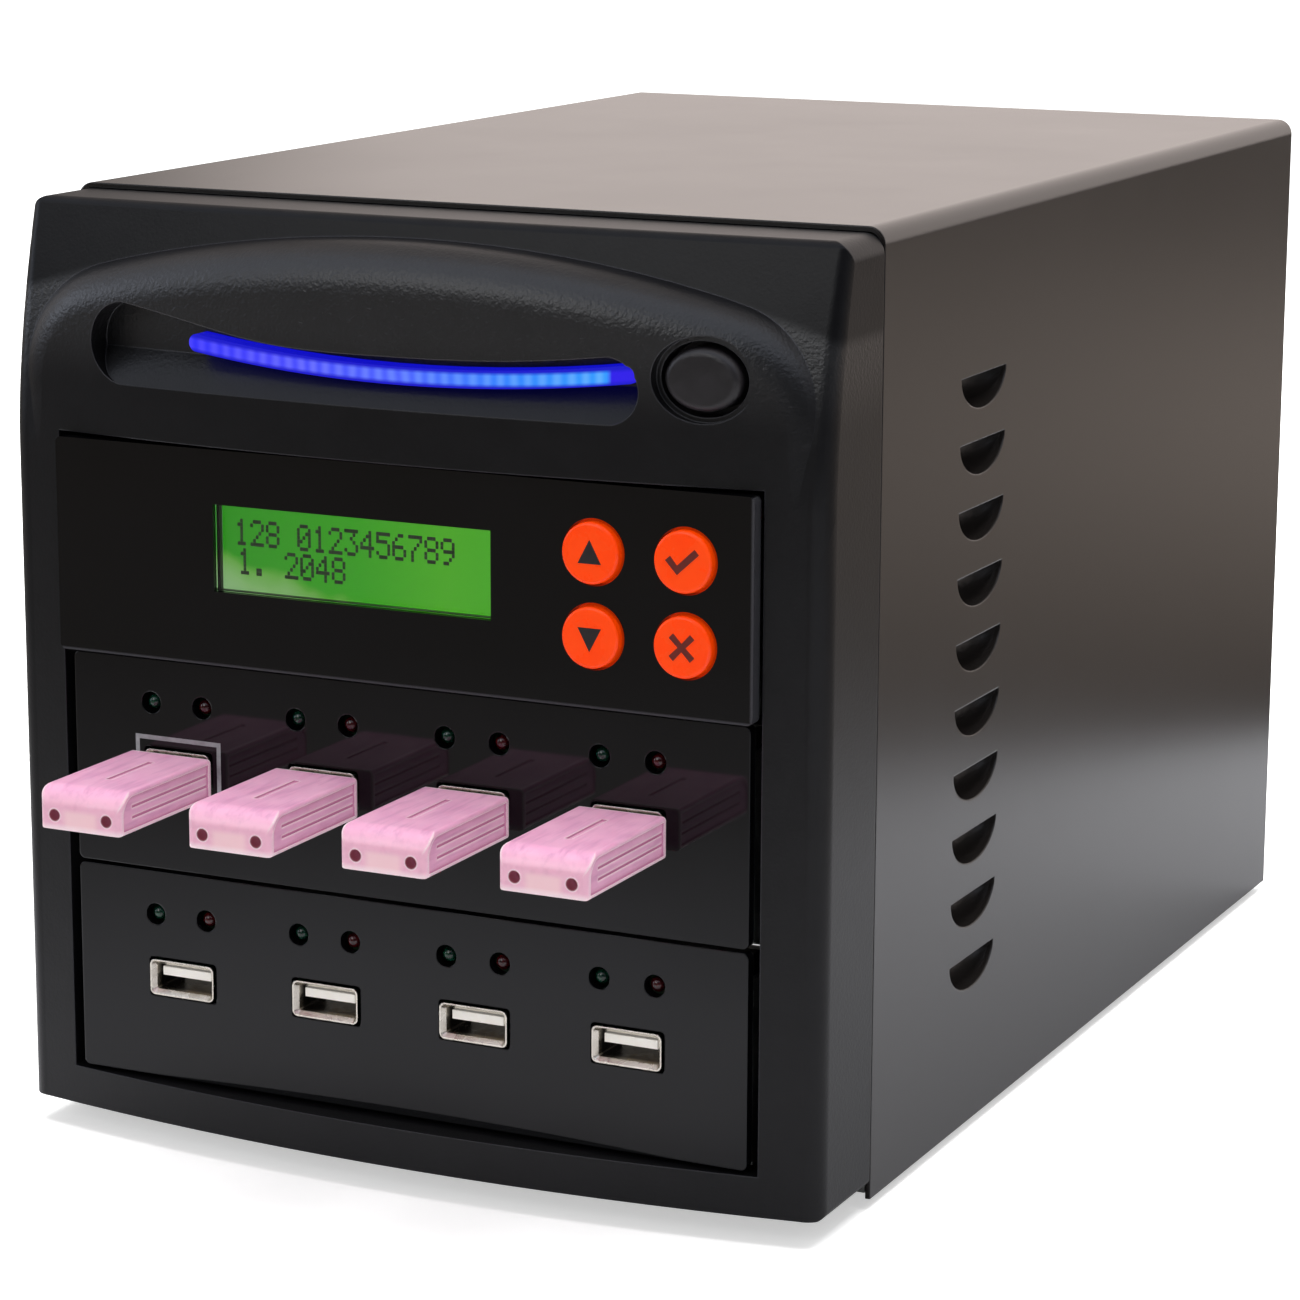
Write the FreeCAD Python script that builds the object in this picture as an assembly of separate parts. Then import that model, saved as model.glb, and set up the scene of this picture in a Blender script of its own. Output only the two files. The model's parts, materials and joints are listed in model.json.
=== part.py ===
import FreeCAD, Part
import math
import os

V = FreeCAD.Vector

# Sizes in millimetres. X runs to the right, Y to the back, Z up.
# While the pieces are drawn, Y = 0 is the front of the port fascias and Z = 0 is the cover's lower edge.
# The whole part is moved at the end, so that its origin is on the floor under the middle of its box.

# Steel case
case_width = 174.0
case_height = 186.4
cover_depth = 252.7
sheet = 1.0
cover_corner = 3.4
rear_lip = 9.0
floor_lip = 10.0
slip = 0.3
frame_flange = 11.0
base_lip = 10.0
base_slot_count = 7
base_slot_width = 4.0
base_slot_length = 60.0
base_slot_pitch = 16.0
floor_lip_setback = 7.0

# Louvres in both sides of the cover
louvre_count = 10
louvre_pitch = 13.1
louvre_width = 24.2
louvre_height = 6.9
louvre_top = 153.0
louvre_from_seam = 51.8

# Bezel
seam = 1.0
bezel_back = 25.8
bezel_bottom = 3.3
bezel_drop = 1.1
bezel_overhang = 0.25
bezel_wall = 2.5
bow_height = 5.8
bow_radius = 490.0
face_rounding = 9.0
shoulder_height = 150.0
shoulder_radius = 24.0
shoulder_turn = 76.3
spread_start = 120.0
face_spread = 9.0
lean_start = 138.0
lean_depth = 8.9
lean_power = 1.6
lean_depth_middle = 15.0
bezel_corner = 4.0
bezel_corner_top = 2.5
bezel_top_rounding = 1.3
bezel_outline_corner = 4.0
bezel_bottom_corner = 1.2
hollow_inset = 6.0
opening_side_gap = 2.3
opening_gap = 0.8
opening_wall = 2.2
clip_width = 8.0
clip_thickness = 2.0
clip_length = 5.0
clip_heights = (24.0, 90.0, 162.0)

# Recess in the bezel with the light bar
recess_bottom = 151.3
recess_left = -58.5
recess_right = 45.3
recess_left_radius = 8.0
recess_right_radius = 6.2
recess_depth = 5.5
recess_lip_rise = 6.5
# Upper edge of the recess: share of its length from the left, and how far it lies under the left end's crest
recess_edge = ((0.13, 2.24), (0.31, 5.38), (0.54, 6.2), (0.78, 5.7))
bar_left = -42.0
bar_right = 49.0
bar_end_height = 160.5
bar_sag = 3.0
bar_thickness = 3.4
bar_behind_face = 1.6
bar_back = 13.0
bar_slip = 0.1

# Power button and what it works on
button_x = 63.6
button_z = 160.5
button_width = 15.2
button_height = 11.7
button_gap = 1.1
button_ring = 1.0
button_ring_depth = 1.2
button_proud = 0.6
button_dome = 1.6
button_flange = 1.6
button_flange_thickness = 1.6
button_flange_back = 6.0
button_travel = 2.5
sleeve_wall = 1.8
sleeve_gap = 0.2
stem_radius = 2.9
switch_side = 12.0
switch_height = 6.0
switch_stem_gap = 0.1
stem_in_switch = 1.0

# Board behind the bezel
board_thickness = 1.6
front_board_y = 14.6
front_board_left = -50.0
front_board_right = 76.5
front_board_bottom = 144.5
front_board_top = 174.5
board_post_radius = 3.0
board_screw_inset = 4.0
bar_lamp_count = 7
bar_lamp_side = 3.5
bar_lamp_height = 1.2
lead_cut_left = -40.0
lead_cut_right = 56.0
lead_cut_bottom = 150.5
lead_cut_top = 170.5

# Drive bays
bay_count = 3
bay_pitch = 43.0
bay_bottom = 12.0
bay_width = 146.0
fascia_height = 42.2
fascia_thickness = 2.5
fascia_corner = 1.2
fascia_rim = 1.6
fascia_rim_depth = 6.0
control_width = 149.0
control_proud = 2.5
control_thickness = 3.0

# Trays and cage
tray_depth = 118.0
tray_height = 36.0
tray_lift = 0.6
tray_front_wall = 17.2
tray_slip = 0.3
cage_depth = 100.0
cage_above = 1.0
cage_front_flange = 5.0
cage_foot = 9.0
ledge_width = 4.0
ledge_length = 12.0
ledge_spots = (20.0, 80.0)
tray_screw_spots = (24.0, 84.0)
tray_screw_height = 12.0

# USB ports
port_count = 4
port_pitch = 32.6
port_row_x = -0.6
port_height = 20.6
shell_width = 13.1
shell_height = 5.8
shell_wall = 0.3
shell_proud = 0.5
lip_reach = 0.75
lip_depth = 1.0
lip_corner = 1.2
shell_corner = 0.5
shell_seat_gap = 0.05
port_window_corner = 0.8
port_board_y = 13.2
port_board_margin = 5.0
port_board_height = 34.0
port_window_gap = 0.4
tongue_width = 11.1
tongue_thickness = 1.75
tongue_front = 1.6
tongue_block = 2.6
tongue_block_corner = 0.4
contact_count = 4
contact_pitch = 2.2
contact_width = 1.0
contact_thickness = 0.15
contact_setback = 0.4

# Lamps over the ports
lamp_radius = 1.5
lamp_hole_radius = 2.2
lamp_flange_radius = 1.9
lamp_flange = 1.0
lamp_rise = 12.85
green_offset = -5.95
red_offset = 5.6
lamp_front = 0.4
lamp_length = 5.4
lead_radius = 0.25
lead_spread = 1.27

# Display and keys
window_left = -39.0
window_right = 21.0
window_bottom = 112.6
window_top = 129.6
window_recess = 0.8
window_lip = 1.2
window_step = 0.6
window_gap = 0.1
display_width = 71.2
display_height = 25.2
display_sheet = 1.0
display_gap = 0.3
display_glass_depth = 2.2
control_board_y = 9.0
control_board_width = 138.0
control_board_height = 36.0
key_radius = 5.8
key_gap = 0.55
key_proud = 1.7
key_edge = 0.6
key_flange = 1.0
key_flange_thickness = 1.0
key_behind = 0.15
key_travel = 0.8
key_stem_radius = 1.6
key_switch_side = 6.0
key_switch_height = 3.5
key_stem_in_switch = 0.6
key_fit = 0.1
key_columns = (42.3, 61.0)
key_rows = (111.6, 127.4)

# Flash drives
drive_width = 18.4
drive_thickness = 8.1
drive_length = 31.8
drive_gap = 3.0
drive_drop = 0.4
drive_corner = 0.8
drive_nose = 1.5
drive_brow = 4.2
drive_rim = 0.9
drive_panel_depth = 0.35
drive_hole_radius = 1.1
drive_hole_depth = 3.0
drive_hole_spacing = 11.5
drive_hole_drop = 1.3
drive_slot_width = 1.2
drive_slot_length = 15.0
drive_slot_depth = 0.3
drive_slot_from_front = 10.0
groove_count = 2
groove_width = 0.5
groove_depth = 0.3
plug_width = 12.0
plug_height = 4.5
plug_wall = 0.3
plug_length = 12.0
plug_seat = 2.0
plug_core_thickness = 1.5
plug_window = 2.2
plug_window_from_tip = 5.0
plug_window_spacing = 5.4
plug_corner = 0.4
plug_core_setback = 0.3
groove_pitch = 2.1

# Controller board
controller_width = 120.0
controller_depth = 88.0
controller_front = 26.0
standoff_height = 5.0
standoff_radius = 2.5
chip_side = 24.0
chip_height = 2.0
sink_side = 30.0
sink_base = 2.0
sink_height = 12.0
sink_fins = 8
sink_fin = 1.2
header_height = 9.0
header_depth = 6.0
header_margin = 1.0
small_chip_count = 4
small_chip_width = 9.0
small_chip_depth = 12.0
small_chip_height = 1.2
small_chip_pitch = 13.0
small_chip_from_side = 14.0
small_chip_from_front = 8.0
capacitor_count = 3
capacitor_radius = 4.0
capacitor_height = 9.0
capacitor_pitch = 16.0
capacitor_from_side = 12.0
capacitor_from_front = 20.0

# Power supply, of the usual 150 x 86 x 140 size
psu_width = 150.0
psu_height = 86.0
psu_depth = 140.0
psu_sheet = 1.0
psu_top_gap = 1.5
psu_fan_from_left = 76.5
psu_slot_count = 9
psu_slot_width = 3.0
psu_slot_length = 50.0
psu_slot_pitch = 8.0
psu_screw_inset = 6.0
psu_screw_left_low = 16.0
psu_screw_row = 80.0
psu_screw_right_x = 144.0
psu_screw_top_x = 120.0
psu_board_margin = 8.0
psu_post_inset = 8.0
psu_opening_low = 11.0
psu_opening_high = 74.0
psu_opening_right = 12.0
psu_slot_offset = -30.0
transformer_x = -3.0
transformer_width = 34.0
transformer_depth = 36.0
transformer_height = 36.0
psu_sink_x = 34.0
psu_sink_thickness = 4.0
psu_sink_height = 48.0
psu_sink_inset = 10.0
reservoir_radius = 12.0
reservoir_height = 38.0
reservoir_from_side = 24.0
reservoir_pitch = 28.0
filter_radius = 7.0
filter_height = 26.0
filter_from_side = 22.0
filter_pitch = 20.0
psu_part_from_front = 20.0

# Mains inlet and rocker switch, upright beside the fan
inlet_from_left = 22.0
inlet_from_bottom = 28.0
inlet_width = 20.0
inlet_height = 27.5
inlet_flange = 2.0
inlet_flange_thickness = 2.5
inlet_depth = 24.0
inlet_cavity_width = 16.6
inlet_cavity_height = 24.4
inlet_cavity_depth = 17.0
inlet_cavity_corner = 3.0
socket_gap = 0.1
pin_thickness = 2.0
pin_width = 4.0
pin_length = 15.0
pin_spacing = 14.0
pin_row_offset = 4.0
pin_root = 12.0
rocker_from_bottom = 60.0
rocker_body_width = 13.0
rocker_body_height = 19.4
rocker_flange = 1.0
rocker_flange_thickness = 2.0
rocker_body_depth = 16.0
rocker_width = 9.6
rocker_height = 15.6
rocker_gap = 0.4
rocker_tilt = 8.0
rocker_pin_radius = 1.5
rocker_fit = 0.08
rocker_axis_depth = 4.0
rocker_face_rise = 4.6
rocker_root = 2.4
rocker_taper = 0.3
rocker_floor = 3.0

# Fans, of the usual 80 mm size
fan_side = 80.0
fan_depth = 25.0
fan_duct_radius = 38.0
fan_screw_spacing = 71.5
fan_hub_radius = 16.0
fan_blade_radius = 36.6
fan_blade_count = 7
fan_blade_thickness = 1.4
fan_blade_pitch = 38.0
fan_base_thickness = 4.0
fan_strut = 4.0
fan_rotor_depth = 17.0
fan_axial_gap = 1.2
fan_shaft_radius = 1.5
fan_fit = 0.05
fan_corner = 4.0
fan_wall = 1.5
fan_flange = 4.0
fan_post = 6.0
fan_strut_turn = 20.0
fan_shaft_length = 11.9
fan_hub_rounding = 1.5
fan_blade_inset = 0.8
case_fan_x = -38.0
case_fan_z = 48.0

# Wire guards over the fans
guard_wire = 0.8
guard_rings = (10.0, 19.0, 28.0, 37.0)
guard_ring_lift = 0.5
guard_eye_gap = 0.3
guard_opening_gap = 1.5

# Rear panel vents
vent_count = 8
vent_left = 16.0
vent_right = 74.0
vent_bottom = 18.0
vent_pitch = 9.0
vent_width = 4.0
vent_corner = 1.8

# Screws
screw_radius = 1.5
screw_hole_gap = 0.15
screw_head_radius = 3.2
screw_head = 2.0
screw_head_rounding = 0.9
screw_slot_width = 0.8
screw_slot_depth = 0.6
screw_length = 5.0
board_screw_length = 5.6
foot_screw_end = 2.0
guard_screw_length = 15.0
short_screw_length = 2.6
cover_screw_heights = (24.0, 93.0, 162.0)

# Feet
foot_radius = 7.0
foot_below_case = 2.2
foot_x = 64.0
foot_from_end = 24.0
foot_taper = 0.8

# Leads inside the case
harness_radius = 3.2
harness_x = 44.0
harness_bend = 17.0
ribbon_width = 20.0
ribbon_thickness = 1.0
ribbon_bend = 4.5
ribbon_lower_x = -34.0
ribbon_upper_x = -6.0
ribbon_lower_reach = 8.0
ribbon_upper_reach = 4.0
plug_block_depth = 5.0
plug_block_height = 8.0
harness_straight = 6.0
harness_above_floor = 8.0
harness_inside = 8.0
harness_hole_gap = 0.4
ribbon_gate_margin = 3.0
ribbon_gate_height = 16.0
screw_tip_in_board = 0.2

# Worked out from the sizes above
half_case = case_width / 2
cover_front = bezel_back + seam
cover_rear = cover_front + cover_depth
rear_panel_back = cover_rear - sheet
rear_panel_front = rear_panel_back - sheet
inner_half = half_case - sheet - slip
floor_bottom = sheet
floor_top = floor_bottom + sheet
inner_top = case_height - sheet - slip
bezel_top = case_height - bezel_drop
bezel_half = half_case + bezel_overhang
frame_front = bezel_back
frame_back = frame_front + sheet
bays_top = bay_bottom + (bay_count - 1) * bay_pitch + fascia_height
opening_half = bay_width / 2 + opening_side_gap
opening_bottom = bay_bottom - opening_gap
opening_top = bays_top + opening_gap
bow_centre = bow_radius - bow_height
tray_half = bay_width / 2
cage_inner = tray_half + tray_slip
cage_outer = cage_inner + sheet
cage_back = frame_back + cage_depth
hole_radius = screw_radius + screw_hole_gap
psu_back = rear_panel_front
psu_front = psu_back - psu_depth
psu_left = -psu_width / 2
psu_right = psu_width / 2
psu_top = case_height - sheet - psu_top_gap
psu_bottom = psu_top - psu_height
psu_fan_x = psu_left + psu_fan_from_left
psu_fan_z = psu_bottom + psu_height / 2
inlet_x = psu_left + inlet_from_left
inlet_z = psu_bottom + inlet_from_bottom
rocker_z = psu_bottom + rocker_from_bottom
control_front = -control_proud
control_back = control_front + control_thickness
drive_inner = -drive_gap
drive_front = drive_inner - drive_length
rear_most = max(rear_panel_back + 2 * guard_wire, cover_rear) + screw_head
origin_y = (drive_front + rear_most) / 2


def block(x, y, z):
    """Box between two limits on each axis."""
    return Part.makeBox(x[1] - x[0], y[1] - y[0], z[1] - z[0], V(x[0], y[0], z[0]))


def rod(radius, start, end):
    """Round rod from one point to another."""
    line = V(*end) - V(*start)
    return Part.makeCylinder(radius, line.Length, V(*start), line)


def rod_y(radius, x, z, y):
    """Round rod along Y."""
    return Part.makeCylinder(radius, y[1] - y[0], V(x, y[0], z), V(0, 1, 0))


def prism_y(wire, y):
    """Solid swept along Y from a closed wire that lies in the plane Y = 0."""
    face = Part.Face(wire)
    face.translate(V(0, y[0], 0))
    return face.extrude(V(0, y[1] - y[0], 0))


def rounded_y(x, z, y, radius):
    """Plate across Y whose four corners are rounded."""
    plate = block(x, y, z)
    corners = [e for e in plate.Edges if abs(e.tangentAt(e.FirstParameter).y) > 0.99]
    return plate.makeFillet(radius, corners)


def oval_y(width, height, x, z, y):
    """Oval rod along Y."""
    oval = Part.Ellipse(V(x + width / 2, 0, z), V(x, 0, z + height / 2), V(x, 0, z))
    return prism_y(Part.Wire(oval.toShape()), y)


def arc(a, b, c):
    """Arc edge through three points of the XZ plane."""
    return Part.Arc(V(a[0], 0, a[1]), V(b[0], 0, b[1]), V(c[0], 0, c[1])).toShape()


def line(a, b):
    """Straight edge between two points of the XZ plane."""
    return Part.LineSegment(V(a[0], 0, a[1]), V(b[0], 0, b[1])).toShape()


def on_bow(points, half_angle=14.0):
    """Solid swept along the bezel's bow from a polygon of (Y, Z) points at its middle."""
    polygon = Part.makePolygon([V(0, y, z) for y, z in points + points[:1]])
    face = Part.Face(polygon)
    face.rotate(V(0, bow_centre, 0), V(0, 0, 1), -half_angle)
    return face.revolve(V(0, bow_centre, 0), V(0, 0, 1), 2 * half_angle)


def bow_y(x):
    """Front of the bowed face at a given X."""
    return bow_centre - math.sqrt(bow_radius ** 2 - x ** 2)


def both_sides(shape):
    """The shape and its mirror image on the other side."""
    return [shape, shape.mirror(V(0, 0, 0), V(1, 0, 0))]


def screw_y(x, z, seat, length=screw_length, outwards=1):
    """Pan-head screw along Y; its head stands on the seat and points outwards."""
    head = Part.makeCylinder(screw_head_radius, screw_head, V(x, seat, z), V(0, outwards, 0))
    rim = head.Edges[0] if abs(head.Edges[0].CenterOfMass.y - seat) > screw_head / 2 else head.Edges[2]
    head = head.makeFillet(screw_head_rounding, [rim])
    shank = Part.makeCylinder(screw_radius, length, V(x, seat, z), V(0, -outwards, 0))
    half = screw_slot_width / 2
    reach = screw_head_radius / 2
    slot = block((-half, half), (-screw_slot_depth, screw_slot_depth), (-reach, reach))
    slot.translate(V(x, seat + outwards * screw_head, z))
    return head.fuse(shank).cut(slot)


def hole_y(x, z, y, radius=None):
    """Screw clearance hole along Y."""
    return rod_y(radius or hole_radius, x, z, y)


def fan_corners(x, z):
    """Screw places of a fan."""
    half = fan_screw_spacing / 2
    return [(x + a * half, z + b * half) for a in (-1, 1) for b in (-1, 1)]


def psu_screw_places():
    """Screw places in the power supply's back."""
    places = [(psu_screw_inset, psu_screw_row), (psu_screw_inset, psu_screw_left_low)]
    places += [(psu_screw_right_x, psu_screw_inset), (psu_screw_top_x, psu_screw_row)]
    return [(psu_left + x, psu_bottom + z) for x, z in places]


def cover_screw_places():
    """Screw places in the cover's rear lip."""
    x = half_case - rear_lip / 2
    return [(s * x, z) for s in (-1, 1) for z in cover_screw_heights]


def foot_places():
    """Middle of each foot."""
    ends = (cover_front + foot_from_end, cover_rear - foot_from_end)
    return [(s * foot_x, y) for s in (-1, 1) for y in ends]


def front_board_posts():
    """Screw places of the board behind the bezel."""
    xs = (front_board_left + board_screw_inset, front_board_right - board_screw_inset)
    zs = (front_board_bottom + board_screw_inset, front_board_top - board_screw_inset)
    return [(x, z) for x in xs for z in zs]


def port_xs():
    """Middle of each USB port."""
    return [port_row_x + (i - (port_count - 1) / 2) * port_pitch for i in range(port_count)]


def port_zs():
    """Height of the two rows of ports."""
    return [bay_bottom + i * bay_pitch + port_height for i in range(2)]


def key_places():
    """Middle of each key by name."""
    left, right = key_columns
    low, high = key_rows
    return {"up": (left, high), "down": (left, low), "enter": (right, high), "escape": (right, low)}


# Bezel

def face_outline(inset=0.0, spread=0.0):
    """Front outline of the bezel's raised face: a flat arch between two shoulders; its sides can spread."""
    turn = math.radians(shoulder_turn)
    out = math.cos(turn)
    up = math.sin(turn)
    cx = half_case - shoulder_radius
    cz = shoulder_height
    arch_radius = (cx + shoulder_radius * out) / out
    arch_z = cz + shoulder_radius * up - arch_radius * up
    bend = shoulder_radius - inset
    side = cx + bend
    top = arch_z + arch_radius - inset
    knee = (cx + bend * out, cz + bend * up)
    middle = (cx + bend * math.cos(turn / 2), cz + bend * math.sin(turn / 2))
    left_knee = (-knee[0], knee[1])
    left_middle = (-middle[0], middle[1])
    base = side + spread
    if spread:
        radius = ((cz - spread_start) ** 2 + spread ** 2) / (2 * spread)
        half_turn = math.asin((cz - spread_start) / radius) / 2
        waist = (side + radius * (1 - math.cos(half_turn)), cz - radius * math.sin(half_turn))
        right_side = arc((base, spread_start), waist, (side, cz))
        left_side = arc((-side, cz), (-waist[0], waist[1]), (-base, spread_start))
    else:
        right_side = line((base, spread_start), (side, cz))
        left_side = line((-side, cz), (-base, spread_start))
    edges = [line((-base, spread_start), (base, spread_start)), right_side]
    edges += [arc((side, cz), middle, knee), arc(knee, (0, top), left_knee)]
    edges += [arc(left_knee, left_middle, (-side, cz)), left_side]
    return Part.Wire(edges)


def bezel_section(z, setback=0.0):
    """Plan outline of the bezel at a given height: bowed front, rounded corners, straight sides and back."""
    share = max(0.0, (z - lean_start) / (bezel_top - lean_start))
    corner = bezel_corner + (bezel_corner_top - bezel_corner) * share
    inner = bezel_half - corner
    edge = bow_y(inner) + lean_depth * share ** lean_power + setback
    middle = -bow_height + lean_depth_middle * share + setback
    bend = corner * (1 - math.sqrt(0.5))
    side = edge + corner
    points = [V(bezel_half, bezel_back, z), V(bezel_half, side, z)]
    points += [V(bezel_half - bend, edge + bend, z), V(inner, edge, z)]
    left = [V(-q.x, q.y, z) for q in points]
    edges = [Part.LineSegment(points[0], points[1]).toShape()]
    edges.append(Part.Arc(points[1], points[2], points[3]).toShape())
    edges.append(Part.Arc(points[3], V(0, middle, z), left[3]).toShape())
    edges += [Part.Arc(left[3], left[2], left[1]).toShape(), Part.LineSegment(left[1], left[0]).toShape()]
    edges.append(Part.LineSegment(left[0], points[0]).toShape())
    return Part.Wire(edges)


def bezel_body():
    """Outer body of the bezel: a shell that leans back at its top, with the arched face standing on it."""
    plan = Part.Face(bezel_section(bezel_bottom))
    lower = plan.extrude(V(0, 0, lean_start - bezel_bottom))
    shoulder = bezel_top - bezel_top_rounding
    steps = 5
    levels = [lean_start + (shoulder - lean_start) * i / steps for i in range(steps + 1)]
    leaning = Part.makeLoft([bezel_section(z) for z in levels], True, False)
    rounded = []
    for angle in (0, 30, 55, 75, 90):
        turn = math.radians(angle)
        z = shoulder + bezel_top_rounding * math.sin(turn)
        rounded.append(bezel_section(z, bezel_top_rounding * (1 - math.cos(turn))))
    crown = Part.makeLoft(rounded, True, False)
    body = lower.fuse([leaning, crown])
    outline = block((-bezel_half, bezel_half), (-bow_height - 1, bezel_back + 1), (bezel_bottom, bezel_top))
    corners = [e for e in outline.Edges if abs(e.tangentAt(e.FirstParameter).y) > 0.99]
    outline = outline.makeFillet(bezel_outline_corner, [e for e in corners if e.CenterOfMass.z > lean_start])
    corners = [e for e in outline.Edges if abs(e.tangentAt(e.FirstParameter).y) > 0.99]
    corners = [e for e in corners if e.CenterOfMass.z < lean_start]
    body = body.common(outline.makeFillet(bezel_bottom_corner, corners))
    raised = prism_y(face_outline(0.0, face_spread), (-bow_height - 5, bezel_back - 6))
    bowed = on_bow([(-bow_height, bezel_bottom - 1), (bezel_back, bezel_bottom - 1),
                    (bezel_back, bezel_top + 1), (-bow_height, bezel_top + 1)])
    raised = raised.common(bowed)
    limit = bow_y(half_case + face_spread) + 0.1
    front_edges = [e for e in raised.Edges if e.BoundBox.YMax < limit and e.CenterOfMass.z > spread_start + 1]
    raised = raised.makeFillet(face_rounding, front_edges)
    raised = raised.common(plan.extrude(V(0, 0, bezel_top - bezel_bottom)))
    return body.fuse(raised)


def recess_outline(grow=0.0):
    """Outline of the recess: round left end, smiling top edge, straight bottom, round right end."""
    low = recess_bottom - grow
    left_r = recess_left_radius + grow
    right_r = recess_right_radius + grow
    left_z = recess_bottom + recess_left_radius
    right_z = recess_bottom + recess_right_radius
    crest = (recess_left, left_z + left_r)
    right_top = (recess_right, right_z + right_r)
    span = recess_right - recess_left
    points = [crest] + [(recess_left + span * share, crest[1] - fall) for share, fall in recess_edge]
    points.append(right_top)
    curve = Part.BSplineCurve()
    curve.interpolate([V(x, 0, z) for x, z in points])
    edges = [line((recess_left, low), (recess_right, low))]
    edges.append(arc((recess_right, low), (recess_right + right_r, right_z), right_top))
    edges.append(curve.toShape())
    edges.append(arc(crest, (recess_left - left_r, left_z), (recess_left, low)))
    return Part.Wire(edges)


def recess_space():
    """Space of the recess; its floor slopes back from the lower lip."""
    front = -bow_height
    back = front + recess_depth
    out = front - 1
    room = on_bow([(out, recess_bottom), (front, recess_bottom), (back, recess_bottom + recess_lip_rise),
                   (back, bezel_top), (out, bezel_top)])
    return prism_y(recess_outline(), (out, bezel_back)).common(room)


def recess_backing():
    """Block of the bezel that is left around the recess, one wall wider and deeper than it."""
    front = -bow_height
    back = front + recess_depth + bezel_wall
    low = recess_bottom - bezel_wall
    room = on_bow([(front, low), (back, low), (back, bezel_top), (front, bezel_top)])
    return prism_y(recess_outline(bezel_wall), (front, bezel_back)).common(room)


def bar_outline(grow=0.0):
    """Smiling outline of the light bar with round ends."""
    half = bar_thickness / 2 + grow
    chord = (bar_right - bar_left) / 2
    middle = (bar_left + bar_right) / 2
    radius = (chord ** 2 + bar_sag ** 2) / (2 * bar_sag)
    centre_z = bar_end_height - bar_sag + radius
    turn = math.asin(chord / radius)

    def at(angle, r):
        return (middle + r * math.sin(angle), centre_z - r * math.cos(angle))

    beyond = half / radius
    edges = [arc(at(-turn, radius + half), at(0, radius + half), at(turn, radius + half))]
    edges.append(arc(at(turn, radius + half), at(turn + beyond, radius), at(turn, radius - half)))
    edges.append(arc(at(turn, radius - half), at(0, radius - half), at(-turn, radius - half)))
    edges.append(arc(at(-turn, radius - half), at(-turn - beyond, radius), at(-turn, radius + half)))
    return Part.Wire(edges)


def bar_arc_point(share):
    """Point on the light bar's middle line, from 0 at its left end to 1 at its right end."""
    chord = (bar_right - bar_left) / 2
    middle = (bar_left + bar_right) / 2
    radius = (chord ** 2 + bar_sag ** 2) / (2 * bar_sag)
    x = middle + (share - 0.5) * 2 * chord
    return (x, bar_end_height - bar_sag + radius - math.sqrt(radius ** 2 - (x - middle) ** 2))


def button_flange_front():
    """Front of the button's collar."""
    return button_flange_back - button_flange_thickness


def front_bezel():
    body = bezel_body()
    front = -bow_height
    # Hollow behind the raised face
    hollow = prism_y(face_outline(hollow_inset), (front, bezel_back + 1))
    low = opening_top + opening_wall
    hollow = hollow.common(on_bow([(front + bezel_wall, low), (bezel_back + 1, low),
                                   (bezel_back + 1, bezel_top), (front + bezel_wall, bezel_top)]))
    edge = bow_y(half_case)
    deep = -bow_height + lean_depth_middle + bezel_top_rounding + bezel_wall
    side = half_case - bezel_wall
    upper = block((-side, side), (deep, bezel_back + 1), (low, bezel_top - bezel_wall))
    keep = [recess_backing()]
    sleeve = (button_width + 2 * (button_flange + sleeve_gap + sleeve_wall),
              button_height + 2 * (button_flange + sleeve_gap + sleeve_wall))
    keep.append(oval_y(sleeve[0], sleeve[1], button_x, button_z, (front, button_flange_back + 1)))
    for x, z in front_board_posts():
        keep.append(rod_y(board_post_radius, x, z, (front, front_board_y)))
    hollow = hollow.fuse(upper).cut(keep)
    # Channels beside and below the bay opening
    column = block((opening_half + opening_wall, side), (edge + bezel_wall, bezel_back + 1),
                   (bezel_bottom + bezel_wall, low))
    rail = block((-opening_half, opening_half), (bezel_wall, bezel_back + 1),
                 (bezel_bottom + bezel_wall, opening_bottom - opening_wall))
    # Bay opening
    opening = block((-opening_half, opening_half), (front - 5, bezel_back + 1), (opening_bottom, opening_top))
    shell = body.cut([hollow, rail, opening] + both_sides(column))
    # Recess, light bar slot, button hole with its dished ring
    shell = shell.cut(recess_space())
    shell = shell.cut(prism_y(bar_outline(bar_slip), (front - 1, bezel_back)))
    hole = (button_width + 2 * button_gap, button_height + 2 * button_gap)
    ring = (hole[0] + 2 * button_ring, hole[1] + 2 * button_ring)
    face = bow_y(button_x)
    shell = shell.cut(oval_y(hole[0], hole[1], button_x, button_z, (front - 1, bezel_back)))
    dish = oval_y(ring[0], ring[1], button_x, button_z, (front - 1, face + button_ring_depth))
    run = (button_width + 2 * (button_flange + sleeve_gap), button_height + 2 * (button_flange + sleeve_gap))
    bore = oval_y(run[0], run[1], button_x, button_z, (button_flange_front() - key_behind, bezel_back))
    shell = shell.cut([dish, bore])
    for x, z in front_board_posts():
        shell = shell.cut(hole_y(x, z, (front_board_y - screw_length, front_board_y + 1)))
    # Clips that pass through the front frame
    for z in clip_heights:
        x0 = (opening_half + opening_wall + side) / 2 - clip_thickness / 2
        root = block((x0, x0 + clip_thickness), (bezel_back - 4, bezel_back + clip_length),
                     (z - clip_width / 2, z + clip_width / 2))
        bridge = block((opening_half + opening_wall - 0.5, side + 0.5), (bezel_back - 4, bezel_back),
                       (z - clip_width / 2, z + clip_width / 2))
        for part in both_sides(root.fuse(bridge)):
            shell = shell.fuse(part)
    return shell


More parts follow.
